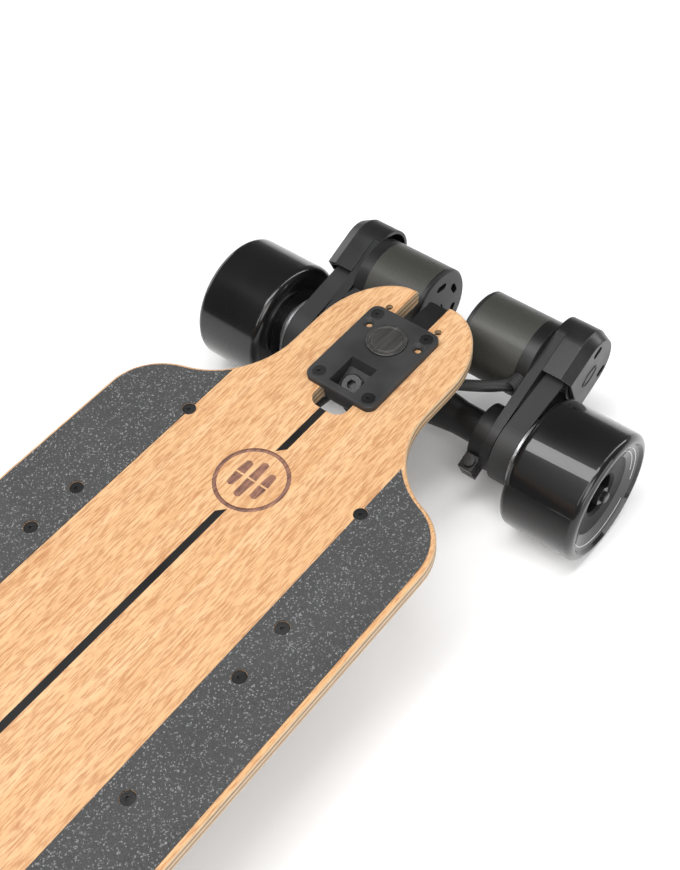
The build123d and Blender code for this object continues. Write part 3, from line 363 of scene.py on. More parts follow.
class EffectLibrary:
    """The effects that several finishes share, each one a shader group made once."""

    def __init__(self) -> None:
        """Builds the groups."""
        self.soft_edges = self._soft_edges()
        self.fine_grain = self._fine_grain()
        self.weave = self._weave()

    @staticmethod
    def _open(
        name: str, inputs: dict[str, tuple[str, float]], outputs: dict[str, str]
    ) -> tuple[ShaderTree, bpy.types.Node]:
        """Starts a group with named sockets.

        Args:
            name: the group's name.
            inputs: socket name to its short type and default.
            outputs: socket name to its short type.

        Returns:
            Its tree and the node that gives the inputs.
        """
        group = bpy.data.node_groups.new(name, "ShaderNodeTree")
        for label, (kind, value) in inputs.items():
            socket = group.interface.new_socket(label, in_out="INPUT", socket_type=f"NodeSocket{kind}")
            if kind == "Float":
                socket.default_value = value
            else:
                socket.hide_value = True
        for label, kind in outputs.items():
            group.interface.new_socket(label, in_out="OUTPUT", socket_type=f"NodeSocket{kind}")
        tree = ShaderTree(group)
        return tree, tree.put("NodeGroupInput")

    def _soft_edges(self) -> bpy.types.NodeTree:
        """Rounds hard edges in the shading and says where they are.

        Returns:
            The group.
        """
        inputs = {"Radius": ("Float", 0.0006)}
        tree, given = self._open("soft_edges", inputs, {"Edge": "Float", "Normal": "Vector"})
        rounded = tree.put("ShaderNodeBevel", {"Radius": given.outputs["Radius"]}, samples=6).outputs[0]
        straight = tree.put("ShaderNodeNewGeometry").outputs["Normal"]
        same = tree.put("ShaderNodeVectorMath", {0: rounded, 1: straight}, operation="DOT_PRODUCT")
        edge = tree.between(tree.math("SUBTRACT", 1.0, same.outputs["Value"]), 0.02, 0.25)
        tree.put("NodeGroupOutput", {"Edge": edge, "Normal": rounded})
        return tree.tree

    def _fine_grain(self) -> bpy.types.NodeTree:
        """A fine cast or moulded texture, with slow blotches of tone.

        Returns:
            The group.
        """
        inputs = {
            "Vector": ("Vector", 0.0), "Normal": ("Vector", 0.0), "Grains": ("Float", 1500.0),
            "Blotches": ("Float", 30.0), "Depth": ("Float", 0.0001),
        }
        outputs = {"Grain": "Float", "Blotch": "Float", "Normal": "Vector"}
        tree, given = self._open("fine_grain", inputs, outputs)
        vector = given.outputs["Vector"]
        grain = tree.noise(vector, given.outputs["Grains"], 2.0)
        blotch = tree.noise(vector, given.outputs["Blotches"], 4.0)
        bump = tree.put("ShaderNodeBump", {
            "Height": grain, "Distance": given.outputs["Depth"], "Normal": given.outputs["Normal"],
            "Strength": 1.0,
        })
        tree.put("NodeGroupOutput", {
            "Grain": grain, "Blotch": tree.between(blotch, 0.3, 0.7), "Normal": bump.outputs[0],
        })
        return tree.tree

    def _weave(self) -> bpy.types.NodeTree:
        """A plain weave of round threads, over and under, one thread a unit each way.

        Returns:
            The group.
        """
        inputs = {
            "Across": ("Float", 0.0), "Along": ("Float", 0.0), "Normal": ("Vector", 0.0),
            "Depth": ("Float", 0.0002),
        }
        outputs = {"Height": "Float", "Over": "Float", "Normal": "Vector"}
        tree, given = self._open("weave", inputs, outputs)
        across, along = given.outputs["Across"], given.outputs["Along"]
        cells = tree.math("ADD", tree.math("FLOOR", across), tree.math("FLOOR", along))
        half_cells = tree.math("FRACT", tree.math("MULTIPLY", cells, 0.5))
        over = tree.math("ROUND", tree.math("MULTIPLY", half_cells, 2.0))
        round_across = tree.math("ABSOLUTE", tree.math("SINE", tree.math("MULTIPLY", across, math.pi)))
        round_along = tree.math("ABSOLUTE", tree.math("SINE", tree.math("MULTIPLY", along, math.pi)))
        height = tree.put("ShaderNodeMix", data_type="FLOAT")
        tree.feed(height.inputs["Factor"], over)
        tree.feed(height.inputs[2], round_across)
        tree.feed(height.inputs[3], round_along)
        bump = tree.put("ShaderNodeBump", {
            "Height": height.outputs[0], "Distance": given.outputs["Depth"],
            "Normal": given.outputs["Normal"],
        })
        tree.put("NodeGroupOutput", {"Height": height.outputs[0], "Over": over, "Normal": bump.outputs[0]})
        return tree.tree


effects = EffectLibrary()


def rgba(colour: tuple[float, float, float]) -> tuple[float, float, float, float]:
    """A colour with full alpha."""
    return (*colour, 1.0)


def start_material(
    name: str, **sockets: object
) -> tuple[bpy.types.Material, ShaderTree, bpy.types.Node]:
    """A new material with a Principled BSDF.

    Args:
        name: the material's name.
        sockets: fixed values of the shader, with underscores for spaces.

    Returns:
        The material, its tree and the shader.
    """
    material = bpy.data.materials.new(name)
    material.use_nodes = True
    tree = ShaderTree(material.node_tree)
    shader = material.node_tree.nodes["Principled BSDF"]
    for key, value in sockets.items():
        shader.inputs[key.replace("_", " ")].default_value = value
    return material, tree, shader


# ---- finishes -----------------------------------------------------------------------------
@dataclass(frozen=True)
class MouldedFinish:
    """Painted, anodised or moulded surfaces: fine grain, slow blotches and paler worn edges."""

    name: str
    base: tuple[float, float, float]
    worn: tuple[float, float, float]
    roughness: float = 0.5
    roughness_spread: float = 0.1
    metallic: float = 0.0
    specular: float = 0.5
    coat: float = 0.0
    coat_roughness: float = 0.1
    grains: float = 1800.0
    depth: float = 0.00003
    blotches: float = 25.0
    edge_radius: float = 0.0005
    edge_share: float = 0.5
    stretch: tuple[float, float, float] = (1.0, 1.0, 1.0)
    blotch_share: float = 0.35
    blotch_wear: float = 0.4
    least_wear: float = 0.4

    def build(self) -> bpy.types.Material:
        """Makes the material.

        Returns:
            The finished material.
        """
        material, tree, shader = start_material(
            self.name, Metallic=self.metallic, Coat_Weight=self.coat, Coat_Roughness=self.coat_roughness,
            Specular_IOR_Level=self.specular,
        )
        edges = tree.put("ShaderNodeGroup", node_tree=effects.soft_edges)
        edges.inputs["Radius"].default_value = self.edge_radius
        grain = tree.put("ShaderNodeGroup", node_tree=effects.fine_grain)
        tree.feed(grain.inputs["Vector"], tree.stretched(tree.place(), self.stretch))
        tree.feed(grain.inputs["Normal"], edges.outputs["Normal"])
        tree.feed(grain.inputs["Grains"], self.grains)
        tree.feed(grain.inputs["Blotches"], self.blotches)
        tree.feed(grain.inputs["Depth"], self.depth)
        kept = 1 - self.blotch_wear
        blotched = tuple(kept * c + self.blotch_wear * w for c, w in zip(self.base, self.worn))
        share = tree.math("MULTIPLY", grain.outputs["Blotch"], self.blotch_share)
        toned = tree.mix(share, rgba(self.base), rgba(blotched))
        wear = tree.spread(grain.outputs["Blotch"], self.least_wear * self.edge_share, self.edge_share)
        rubbed = tree.math("MULTIPLY", edges.outputs["Edge"], wear)
        tree.feed(shader.inputs["Base Color"], tree.mix(rubbed, toned, rgba(self.worn)))
        rough = tree.spread(grain.outputs["Blotch"], self.roughness - self.roughness_spread,
                            self.roughness + self.roughness_spread)
        tree.feed(shader.inputs["Roughness"], rough)
        tree.feed(shader.inputs["Normal"], grain.outputs["Normal"])
        return material


@dataclass(frozen=True)
class BambooFinish:
    """Clear-varnished bamboo: narrow lengthwise strips on the faces, plies along the cut edges."""

    name: str
    top_height: float
    wing_start: float
    wing_radius: float
    pale: tuple[float, float, float] = (0.655, 0.425, 0.235)
    honey: tuple[float, float, float] = (0.565, 0.325, 0.150)
    fibre: tuple[float, float, float] = (0.33, 0.130, 0.045)
    edge_pale: tuple[float, float, float] = (0.50, 0.36, 0.22)
    edge_dark: tuple[float, float, float] = (0.13, 0.075, 0.042)
    strip_width: float = 0.0062
    cane_length: float = 0.27
    cane_shift: float = 7.0
    ply: float = 0.00208
    pores: tuple[float, float, float] = (25.0, 1300.0, 1300.0)
    figure: tuple[float, float, float] = (3.0, 45.0, 45.0)
    short_fibres: tuple[float, float, float] = (120.0, 1050.0, 1050.0)
    long_fibres: tuple[float, float, float] = (14.0, 420.0, 420.0)
    edge_streaks: tuple[float, float, float] = (160.0, 160.0, 2400.0)
    cane_tone: float = 0.55
    figure_tone: float = 0.45
    short_share: float = 0.62
    long_share: float = 0.18
    joint_share: float = 0.22
    joint_width: float = 0.006
    seam_share: float = 0.10
    seam_width: float = 0.05
    ply_share: float = 0.75
    streak_share: float = 0.35

    def build(self) -> bpy.types.Material:
        """Makes the material.

        Returns:
            The finished material.
        """
        material, tree, shader = start_material(
            self.name, Coat_Weight=0.12, Coat_Roughness=0.25, Specular_IOR_Level=0.3,
        )
        place = tree.place()
        x, y, z = tree.parts(place)
        face = self._face_colour(tree, place, x, y)
        edge = self._edge_colour(tree, place, y, z)
        normal_z = tree.parts(tree.put("ShaderNodeTexCoord").outputs["Normal"])[2]
        upright = tree.between(tree.math("ABSOLUTE", normal_z), 0.45, 0.8)
        tree.feed(shader.inputs["Base Color"], tree.mix(upright, edge, face))
        fine = tree.noise(tree.stretched(place, self.pores), 1.0, 2.0)
        tree.feed(shader.inputs["Roughness"], tree.spread(fine, 0.42, 0.6))
        bump = tree.put("ShaderNodeBump", {"Height": fine, "Distance": 0.00002, "Strength": 0.8})
        tree.feed(shader.inputs["Normal"], bump.outputs[0])
        return material

    def _face_colour(
        self, tree: ShaderTree, place: bpy.types.NodeSocket, x: bpy.types.NodeSocket, y: bpy.types.NodeSocket
    ) -> bpy.types.NodeSocket:
        """Colour of the flat faces.

        Args:
            tree: the material's tree.
            place: the point on the deck.
            x: its place along the deck.
            y: its place across the deck.

        Returns:
            The colour, with strips, fibres and the canes' joints.
        """
        strip = tree.math("FLOOR", tree.math("DIVIDE", y, self.strip_width))
        own = tree.put("ShaderNodeTexWhiteNoise", {"W": strip}, noise_dimensions="1D").outputs["Value"]
        shift = tree.math("MULTIPLY", own, self.cane_shift)
        run = tree.math("ADD", tree.math("DIVIDE", x, self.cane_length), shift)
        piece = tree.put("ShaderNodeTexWhiteNoise", {"Vector": tree.join(strip, tree.math("FLOOR", run))})
        tone = tree.math("MULTIPLY", piece.outputs["Value"], self.cane_tone)
        broad = tree.noise(tree.stretched(place, self.figure), 1.0, 3.0)
        depth = tree.math("ADD", tone, tree.math("MULTIPLY", broad, self.figure_tone))
        base = tree.mix(depth, rgba(self.pale), rgba(self.honey))
        lines = tree.noise(tree.stretched(place, self.short_fibres), 1.0, 3.0)
        long_lines = tree.noise(tree.stretched(place, self.long_fibres), 1.0, 3.0)
        fibres = tree.math("ADD",
                           tree.math("MULTIPLY", tree.between(lines, 0.40, 0.66), self.short_share),
                           tree.math("MULTIPLY", tree.between(long_lines, 0.42, 0.75), self.long_share))
        fibred = tree.mix(fibres, base, rgba(self.fibre))
        along = tree.math("ABSOLUTE", tree.math("SUBTRACT", tree.math("FRACT", run), 0.5))
        knuckle = tree.math("SUBTRACT", 1.0, tree.between(along, 0.0, self.joint_width))
        jointed = tree.mix(tree.math("MULTIPLY", knuckle, self.joint_share), fibred, rgba(self.fibre))
        across = tree.math("FRACT", tree.math("DIVIDE", y, self.strip_width))
        seam = tree.math("SUBTRACT", 1.0, tree.between(across, 0.0, self.seam_width))
        return tree.mix(tree.math("MULTIPLY", seam, self.seam_share), jointed, rgba(self.fibre))

    def _edge_colour(
        self, tree: ShaderTree, place: bpy.types.NodeSocket, y: bpy.types.NodeSocket, z: bpy.types.NodeSocket
    ) -> bpy.types.NodeSocket:
        """Colour of the cut edges.

        Args:
            tree: the material's tree.
            place: the point on the deck.
            y: its place across the deck.
            z: its height.

        Returns:
            The colour, with plies that follow the lifted wings.
        """
        past = tree.math("SUBTRACT", tree.math("ABSOLUTE", y), self.wing_start)
        out = tree.math("MAXIMUM", past, 0.0)
        lift = tree.math("MULTIPLY", tree.math("MULTIPLY", out, out), 0.5 / self.wing_radius)
        depth = tree.math("SUBTRACT", tree.math("ADD", lift, self.top_height), z)
        layers = tree.math("DIVIDE", depth, self.ply)
        pair = tree.math("FRACT", tree.math("MULTIPLY", layers, 0.5))
        turn = tree.math("ABSOLUTE", tree.math("SUBTRACT", pair, 0.5))
        dark_ply = tree.between(turn, 0.235, 0.265)
        streaks = tree.noise(tree.stretched(place, self.edge_streaks), 1.0, 3.0)
        dark = rgba(self.edge_dark)
        plied = tree.mix(tree.math("MULTIPLY", dark_ply, self.ply_share), rgba(self.edge_pale), dark)
        share = tree.math("MULTIPLY", tree.between(streaks, 0.45, 0.75), self.streak_share)
        return tree.mix(share, plied, dark)


@dataclass(frozen=True)
class GripFinish:
    """Coarse grip tape: dark grit with paler grains catching the light."""

    name: str
    deep: tuple[float, float, float] = (0.020, 0.020, 0.0205)
    grit: tuple[float, float, float] = (0.072, 0.072, 0.073)
    glint: tuple[float, float, float] = (0.30, 0.30, 0.305)
    grains: float = 1150.0
    fine_ratio: float = 2.6
    dust_blotches: float = 14.0
    dust_share: float = 0.35
    speck_height: float = 0.6
    depth: float = 0.00035

    def build(self) -> bpy.types.Material:
        """Makes the material.

        Returns:
            The finished material.
        """
        material, tree, shader = start_material(self.name, Specular_IOR_Level=0.35)
        place = tree.place()
        cells = tree.put("ShaderNodeTexVoronoi", {"Vector": place, "Scale": self.grains})
        speck = tree.parts(cells.outputs["Color"])[0]
        small = tree.noise(place, self.fine_ratio * self.grains, 2.0)
        dull = tree.mix(tree.between(small, 0.25, 0.75), rgba(self.deep), rgba(self.grit))
        bright = tree.math("MULTIPLY", tree.between(speck, 0.80, 0.98), tree.between(small, 0.35, 0.65))
        worn = tree.between(tree.noise(place, self.dust_blotches, 4.0), 0.35, 0.75)
        dusty = tree.mix(tree.math("MULTIPLY", worn, self.dust_share), dull, rgba(self.grit))
        tree.feed(shader.inputs["Base Color"], tree.mix(bright, dusty, rgba(self.glint)))
        tree.feed(shader.inputs["Roughness"], tree.spread(speck, 0.62, 0.95))
        height = tree.math("ADD", tree.math("MULTIPLY", speck, self.speck_height),
                           tree.math("MULTIPLY", small, 1 - self.speck_height))
        bump = tree.put("ShaderNodeBump", {"Height": height, "Distance": self.depth, "Strength": 1.0})
        tree.feed(shader.inputs["Normal"], bump.outputs[0])
        return material


@dataclass(frozen=True)
class WovenFinish:
    """A wrap of fine woven fibre: around a motor's can, or slanting along a sleeve, with painted shade in the
    hollows between the threads.
    """

    name: str
    dark: tuple[float, float, float]
    light: tuple[float, float, float]
    thread: float
    roughness: float
    depth: float = 0.00012
    coat: float = 0.0
    axis_point: Vector | None = None
    radius: float = 0.03
    slant: float = 0.7
    # Share of the colour that follows the threads' height: painted shade in the hollows between threads.
    height_share: float = 0.6
    roughness_spread: float = 0.08

    def build(self) -> bpy.types.Material:
        """Makes the material.

        Returns:
            The finished material.
        """
        material, tree, shader = start_material(self.name, Coat_Weight=self.coat, Coat_Roughness=0.18)
        x, y, z = tree.parts(tree.place())
        if self.axis_point is None:
            across = tree.math("ADD", x, tree.math("MULTIPLY", z, self.slant))
            along = tree.math("SUBTRACT", y, tree.math("MULTIPLY", z, self.slant))
        else:
            turn = tree.math("ARCTAN2", tree.math("SUBTRACT", z, self.axis_point.z),
                             tree.math("SUBTRACT", x, self.axis_point.x))
            across = tree.math("MULTIPLY", turn, self.radius)
            along = y
        edges = tree.put("ShaderNodeGroup", node_tree=effects.soft_edges)
        woven = tree.put("ShaderNodeGroup", node_tree=effects.weave)
        tree.feed(woven.inputs["Across"], tree.math("DIVIDE", across, self.thread))
        tree.feed(woven.inputs["Along"], tree.math("DIVIDE", along, self.thread))
        tree.feed(woven.inputs["Normal"], edges.outputs["Normal"])
        tree.feed(woven.inputs["Depth"], self.depth)
        # The colour is lighter on the threads' crowns and darker in the hollows between them, which is painted
        # shade; the over and under share is the weave's own pattern.
        tone = tree.math("ADD", tree.math("MULTIPLY", woven.outputs["Height"], self.height_share),
                         tree.math("MULTIPLY", woven.outputs["Over"], 1 - self.height_share))
        tree.feed(shader.inputs["Base Color"], tree.mix(tone, rgba(self.dark), rgba(self.light)))
        tree.feed(shader.inputs["Roughness"], tree.spread(tone, self.roughness + self.roughness_spread,
                                                          self.roughness - self.roughness_spread))
        tree.feed(shader.inputs["Normal"], woven.outputs["Normal"])
        return material


@dataclass(frozen=True)
class BurntFinish:
    """Wood scorched by a branding iron: uneven brown with the grain showing through."""

    name: str
    light: tuple[float, float, float] = (0.27, 0.125, 0.078)
    dark: tuple[float, float, float] = (0.085, 0.034, 0.024)
    fibres: tuple[float, float, float] = (60.0, 1050.0, 1050.0)
    scorches: float = 130.0

    def build(self) -> bpy.types.Material:
        """Makes the material.

        Returns:
            The finished material.
        """
        material, tree, shader = start_material(self.name, Coat_Weight=0.1, Coat_Roughness=0.3)
        place = tree.place()
        grain = tree.noise(tree.stretched(place, self.fibres), 1.0, 3.0)
        scorch = tree.noise(place, self.scorches, 4.0)
        both = tree.math("ADD", tree.math("MULTIPLY", grain, 0.5), tree.math("MULTIPLY", scorch, 0.5))
        share = tree.between(both, 0.35, 0.65)
        tree.feed(shader.inputs["Base Color"], tree.mix(share, rgba(self.light), rgba(self.dark)))
        tree.feed(shader.inputs["Roughness"], tree.spread(grain, 0.5, 0.7))
        return material


class Workshop:
    """All the finishes, made once, and the record's slot that each one dresses."""

    def __init__(self) -> None:
        """Makes every material."""
        motor = joint_place("left_motor_spin")
        deck_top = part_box("centre_stripe")[1].z
        finishes = {
            "bamboo": BambooFinish("bamboo", deck_top, wing_start=70.9 * MM, wing_radius=322.9 * MM),
            "grip": GripFinish("grip_tape"),
            "stripe": MouldedFinish(
                "dark_inlay", (0.006, 0.006, 0.006), (0.018, 0.017, 0.016), 0.5, specular=0.25,
            ),
            "plate_metal": MouldedFinish(
                "charcoal_anodised", (0.017, 0.017, 0.0178), (0.11, 0.11, 0.112), 0.55, 0.06,
                specular=0.35, grains=2600.0, depth=0.00004, edge_share=0.4,
            ),
            "badge_metal": MouldedFinish(
                "gunmetal", (0.10, 0.098, 0.094), (0.26, 0.255, 0.25), 0.4, 0.06, metallic=0.85,
                stretch=(1.0, 14.0, 1.0),
            ),
            "black_steel": MouldedFinish(
                "blackened_steel", (0.009, 0.009, 0.0095), (0.10, 0.10, 0.102), 0.32, 0.08, metallic=0.2,
                edge_radius=0.0003, edge_share=0.3,
            ),
            "bright_steel": MouldedFinish(
                "plain_steel", (0.50, 0.50, 0.51), (0.75, 0.75, 0.76), 0.30, 0.08, metallic=1.0,
                stretch=(1.0, 20.0, 1.0), edge_share=0.3,
            ),
            "bushing": MouldedFinish("bushing_rubber", (0.020, 0.020, 0.021), (0.06, 0.06, 0.06), 0.42),
            "cup": MouldedFinish("cup_plastic", (0.022, 0.022, 0.022), (0.07, 0.07, 0.07), 0.5),
            "truck_metal": MouldedFinish(
                "satin_black_casting", (0.0055, 0.0055, 0.0058), (0.045, 0.045, 0.046), 0.44, 0.08,
                specular=0.35, grains=2000.0, depth=0.00005, edge_share=0.3,
            ),
            "tyre": MouldedFinish(
                "glossy_urethane", (0.003, 0.003, 0.0032), (0.010, 0.010, 0.0105), 0.3, 0.05,
                specular=0.2, coat=0.62, coat_roughness=0.03, depth=0.0, blotches=18.0, edge_share=0.12,
            ),
            "core": MouldedFinish(
                "wheel_core_plastic", (0.0025, 0.0025, 0.0027), (0.02, 0.02, 0.02), 0.5, specular=0.2,
                edge_share=0.2,
            ),
            "bearing": MouldedFinish(
                "bearing_steel", (0.36, 0.36, 0.37), (0.6, 0.6, 0.6), 0.28, metallic=1.0,
            ),
            "pulley": MouldedFinish(
                "machined_aluminium", (0.30, 0.30, 0.31), (0.6, 0.6, 0.6), 0.36, metallic=0.9,
                stretch=(1.0, 25.0, 1.0),
            ),
            "rotor": MouldedFinish("rotor_steel", (0.20, 0.20, 0.21), (0.4, 0.4, 0.4), 0.4, metallic=0.9),
            "stator": MouldedFinish(
                "wound_copper", (0.36, 0.15, 0.06), (0.6, 0.3, 0.15), 0.35, metallic=0.7,
                stretch=(1.0, 1.0, 30.0),
            ),
            "belt": MouldedFinish("belt_rubber", (0.016, 0.016, 0.016), (0.05, 0.05, 0.05), 0.6),
            "can": WovenFinish(
                "woven_can", (0.012, 0.012, 0.0098), (0.046, 0.046, 0.038), 1.15 * MM, 0.40,
                depth=0.00008, coat=0.1, axis_point=motor, radius=31.3 * MM,
            ),
            "cap_metal": MouldedFinish(
                "motor_cap_black", (0.006, 0.006, 0.006), (0.06, 0.06, 0.06), 0.38, 0.08, specular=0.4,
                edge_share=0.35,
            ),
            "guard": MouldedFinish(
                "guard_satin_black", (0.0065, 0.0065, 0.0068), (0.05, 0.05, 0.052), 0.36, 0.07,
                specular=0.45, grains=2400.0, depth=0.00002, edge_radius=0.0009, edge_share=0.35,
            ),
            "lead": WovenFinish(
                "braided_sleeve", (0.004, 0.004, 0.004), (0.02, 0.02, 0.0205), 1.3 * MM, 0.55,
                depth=0.0002,
            ),
            "tray": MouldedFinish(
                "tray_plastic", (0.013, 0.013, 0.014), (0.06, 0.06, 0.06), 0.55, 0.07, grains=1500.0,
                depth=0.00008,
            ),
            "cell": MouldedFinish("cell_sleeve", (0.04, 0.12, 0.32), (0.2, 0.3, 0.5), 0.35),
            "controller": MouldedFinish(
                "controller_anodised", (0.05, 0.05, 0.055), (0.3, 0.3, 0.3), 0.4, metallic=0.8,
            ),
            "port": MouldedFinish(
                "port_plastic", (0.006, 0.006, 0.0065), (0.06, 0.06, 0.06), 0.25, coat=0.4,
            ),
            "soft_cap": MouldedFinish("soft_rubber", (0.007, 0.007, 0.007), (0.03, 0.03, 0.03), 0.6),
            "button": MouldedFinish("button_plastic", (0.09, 0.09, 0.095), (0.25, 0.25, 0.25), 0.4),
        }
        self.materials = {slot: finish.build() for slot, finish in finishes.items()}
        self.burnt = BurntFinish("burnt_bamboo").build()
        self.ink = MouldedFinish("white_ink", (0.62, 0.62, 0.62), (0.75, 0.75, 0.75), 0.5, depth=0.0).build()
        self.glow = MouldedFinish("pale_ring", (0.35, 0.42, 0.45), (0.5, 0.55, 0.6), 0.3, depth=0.0).build()

    def dress_frame(self) -> None:
        """Gives each CAD node the finish of its slot; what shows in the hubs is blackened."""
        for subpart in frame["record"]["subparts"]:
            name, slot = subpart["node"], subpart["material_slot"]
            finish = "black_steel" if "axle" in name else slot
            node = frame["nodes"][name]
            node.data.materials.clear()
            node.data.materials.append(self.materials[finish])
            log.info("dressed %s with %s", name, finish)

    def dress(self, piece: bpy.types.Object, slot: str, material: bpy.types.Material | None = None) -> None:
        """Gives a new piece a finish.

        Args:
            piece: the new piece.
            slot: the record's slot that it belongs to.
            material: a finish of its own, where it isn't the slot's.
        """
        piece.data.materials.clear()
        piece.data.materials.append(material or self.materials[slot])


# ---- sub-assemblies -----------------------------------------------------------------------
@dataclass
class DeckTop:
    """The plain mark burnt into the deck between the two dark stripes: a ring around three canes."""

    shop: Workshop
    from_plate: float = 124.5 * MM
    ring_outer: float = 25.0 * MM
    ring_inner: float = 22.2 * MM
    cane_width: float = 6.4 * MM
    cane_pitch: float = 9.6 * MM
    cane_lengths: tuple[float, ...] = (20.0 * MM, 29.0 * MM, 20.0 * MM)
    cane_joint: float = 1.3 * MM
    cane_tip: float = 1.2 * MM
    cane_taper: float = 0.78
    lift: float = 0.01 * MM
    thickness: float = 0.06 * MM
    ring_steps: int = 120

    def build(self) -> None:
        """Makes the ring and the canes, and puts them on the board."""
        low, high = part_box("rear_baseplate")
        deck_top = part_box("centre_stripe")[1].z
        centre = Vector(((low.x + high.x) / 2 + self.from_plate, 0.0, deck_top + self.lift))
        ring = lathe("burnt_ring", [
            (self.ring_inner, 0.0), (self.ring_outer, 0.0), (self.ring_outer, self.thickness),
            (self.ring_inner, self.thickness),
        ], Matrix.Translation(centre), self.ring_steps)
        self._add(ring)
        for i, length in enumerate(self.cane_lengths):
            y = centre.y + (i - 1) * self.cane_pitch
            for j, share in enumerate((-1.0, 1.0)):
                near = centre.x + share * self.cane_joint / 2
                far = centre.x + share * length / 2
                wide = self.cane_width / 2
                narrow = self.cane_taper * wide
                cane = plate(f"burnt_cane_{i}_{j}", [
                    (near, y - wide), (far, y - narrow), (far + share * self.cane_tip, y),
                    (far, y + narrow), (near, y + wide),
                ], centre.z, self.thickness)
                self._add(cane)

    def _add(self, piece: bpy.types.Object) -> None:
        """Dresses a burnt piece and fixes it to the board.

        Args:
            piece: the ring or a half of a cane.
        """
        self.shop.dress(piece, "bamboo", self.shop.burnt)
        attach(piece, "board")
        log.info("made %s", piece.name)


@dataclass
class Bushings:
    """The rubber bushings above and below each truck ring; the real ones shear as the ring leans, these are fixed
    shapes.
    """

    shop: Workshop
    radius: float = 11.5 * MM
    bore: float = 5.1 * MM
    height: float = 11.0 * MM
    gap: float = 6.3 * MM
    cone_end: float = 9.3 * MM
    lip: float = 0.9 * MM
    bulge: float = 0.27
    side_steps: int = 8

    def profile(self, tapered: bool) -> list[tuple[float, float]]:
        """Half section of a bushing that stands on the ring and grows to its seat.

        Args:
            tapered: whether it narrows away from the ring.

        Returns:
            (radius, height) corners, with rounded lips and a slight bulge.
        """
        outer = self.cone_end if tapered else self.radius
        side = []
        for i in range(self.side_steps + 1):
            share = i / self.side_steps
            swell = self.bulge * self.lip * (math.cos(math.pi * (2 * share - 1)) - 1)
            side.append((self.radius + (outer - self.radius) * share + swell,
                         self.lip + (self.height - 2 * self.lip) * share))
        return [(self.bore, 0.0), (self.radius - self.lip, 0.0), *side, (outer - self.lip, self.height),
                (self.bore, self.height)]

    def build(self) -> None:
        """Makes the two bushings on each of the four kingpins."""
        for end in End:
            up = kingpin_direction(end)
            stages = ((f"{end.value}_arm_lean", "board", f"{end.value}_arm", f"{end.value}_inner_bushings"),
                      (f"{end.value}_hanger_lean", f"{end.value}_arm", f"{end.value}_hanger",
                       f"{end.value}_outer_bushings"))
            for joint, seat, ring, node in stages:
                middle = joint_place(joint)
                for label, way in (("upper", 1.0), ("lower", -1.0)):
                    turn = (up * way).to_track_quat("Z", "Y").to_matrix().to_4x4()
                    foot = middle + up * way * self.gap
                    stand = Matrix.Translation(foot) @ turn
                    piece = lathe(f"{node}_{label}", self.profile(label == "lower"), stand, steps=64)
                    self.shop.dress(piece, "bushing")
                    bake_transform(piece)
                    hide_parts(node)
                    log.info("made %s", piece.name)


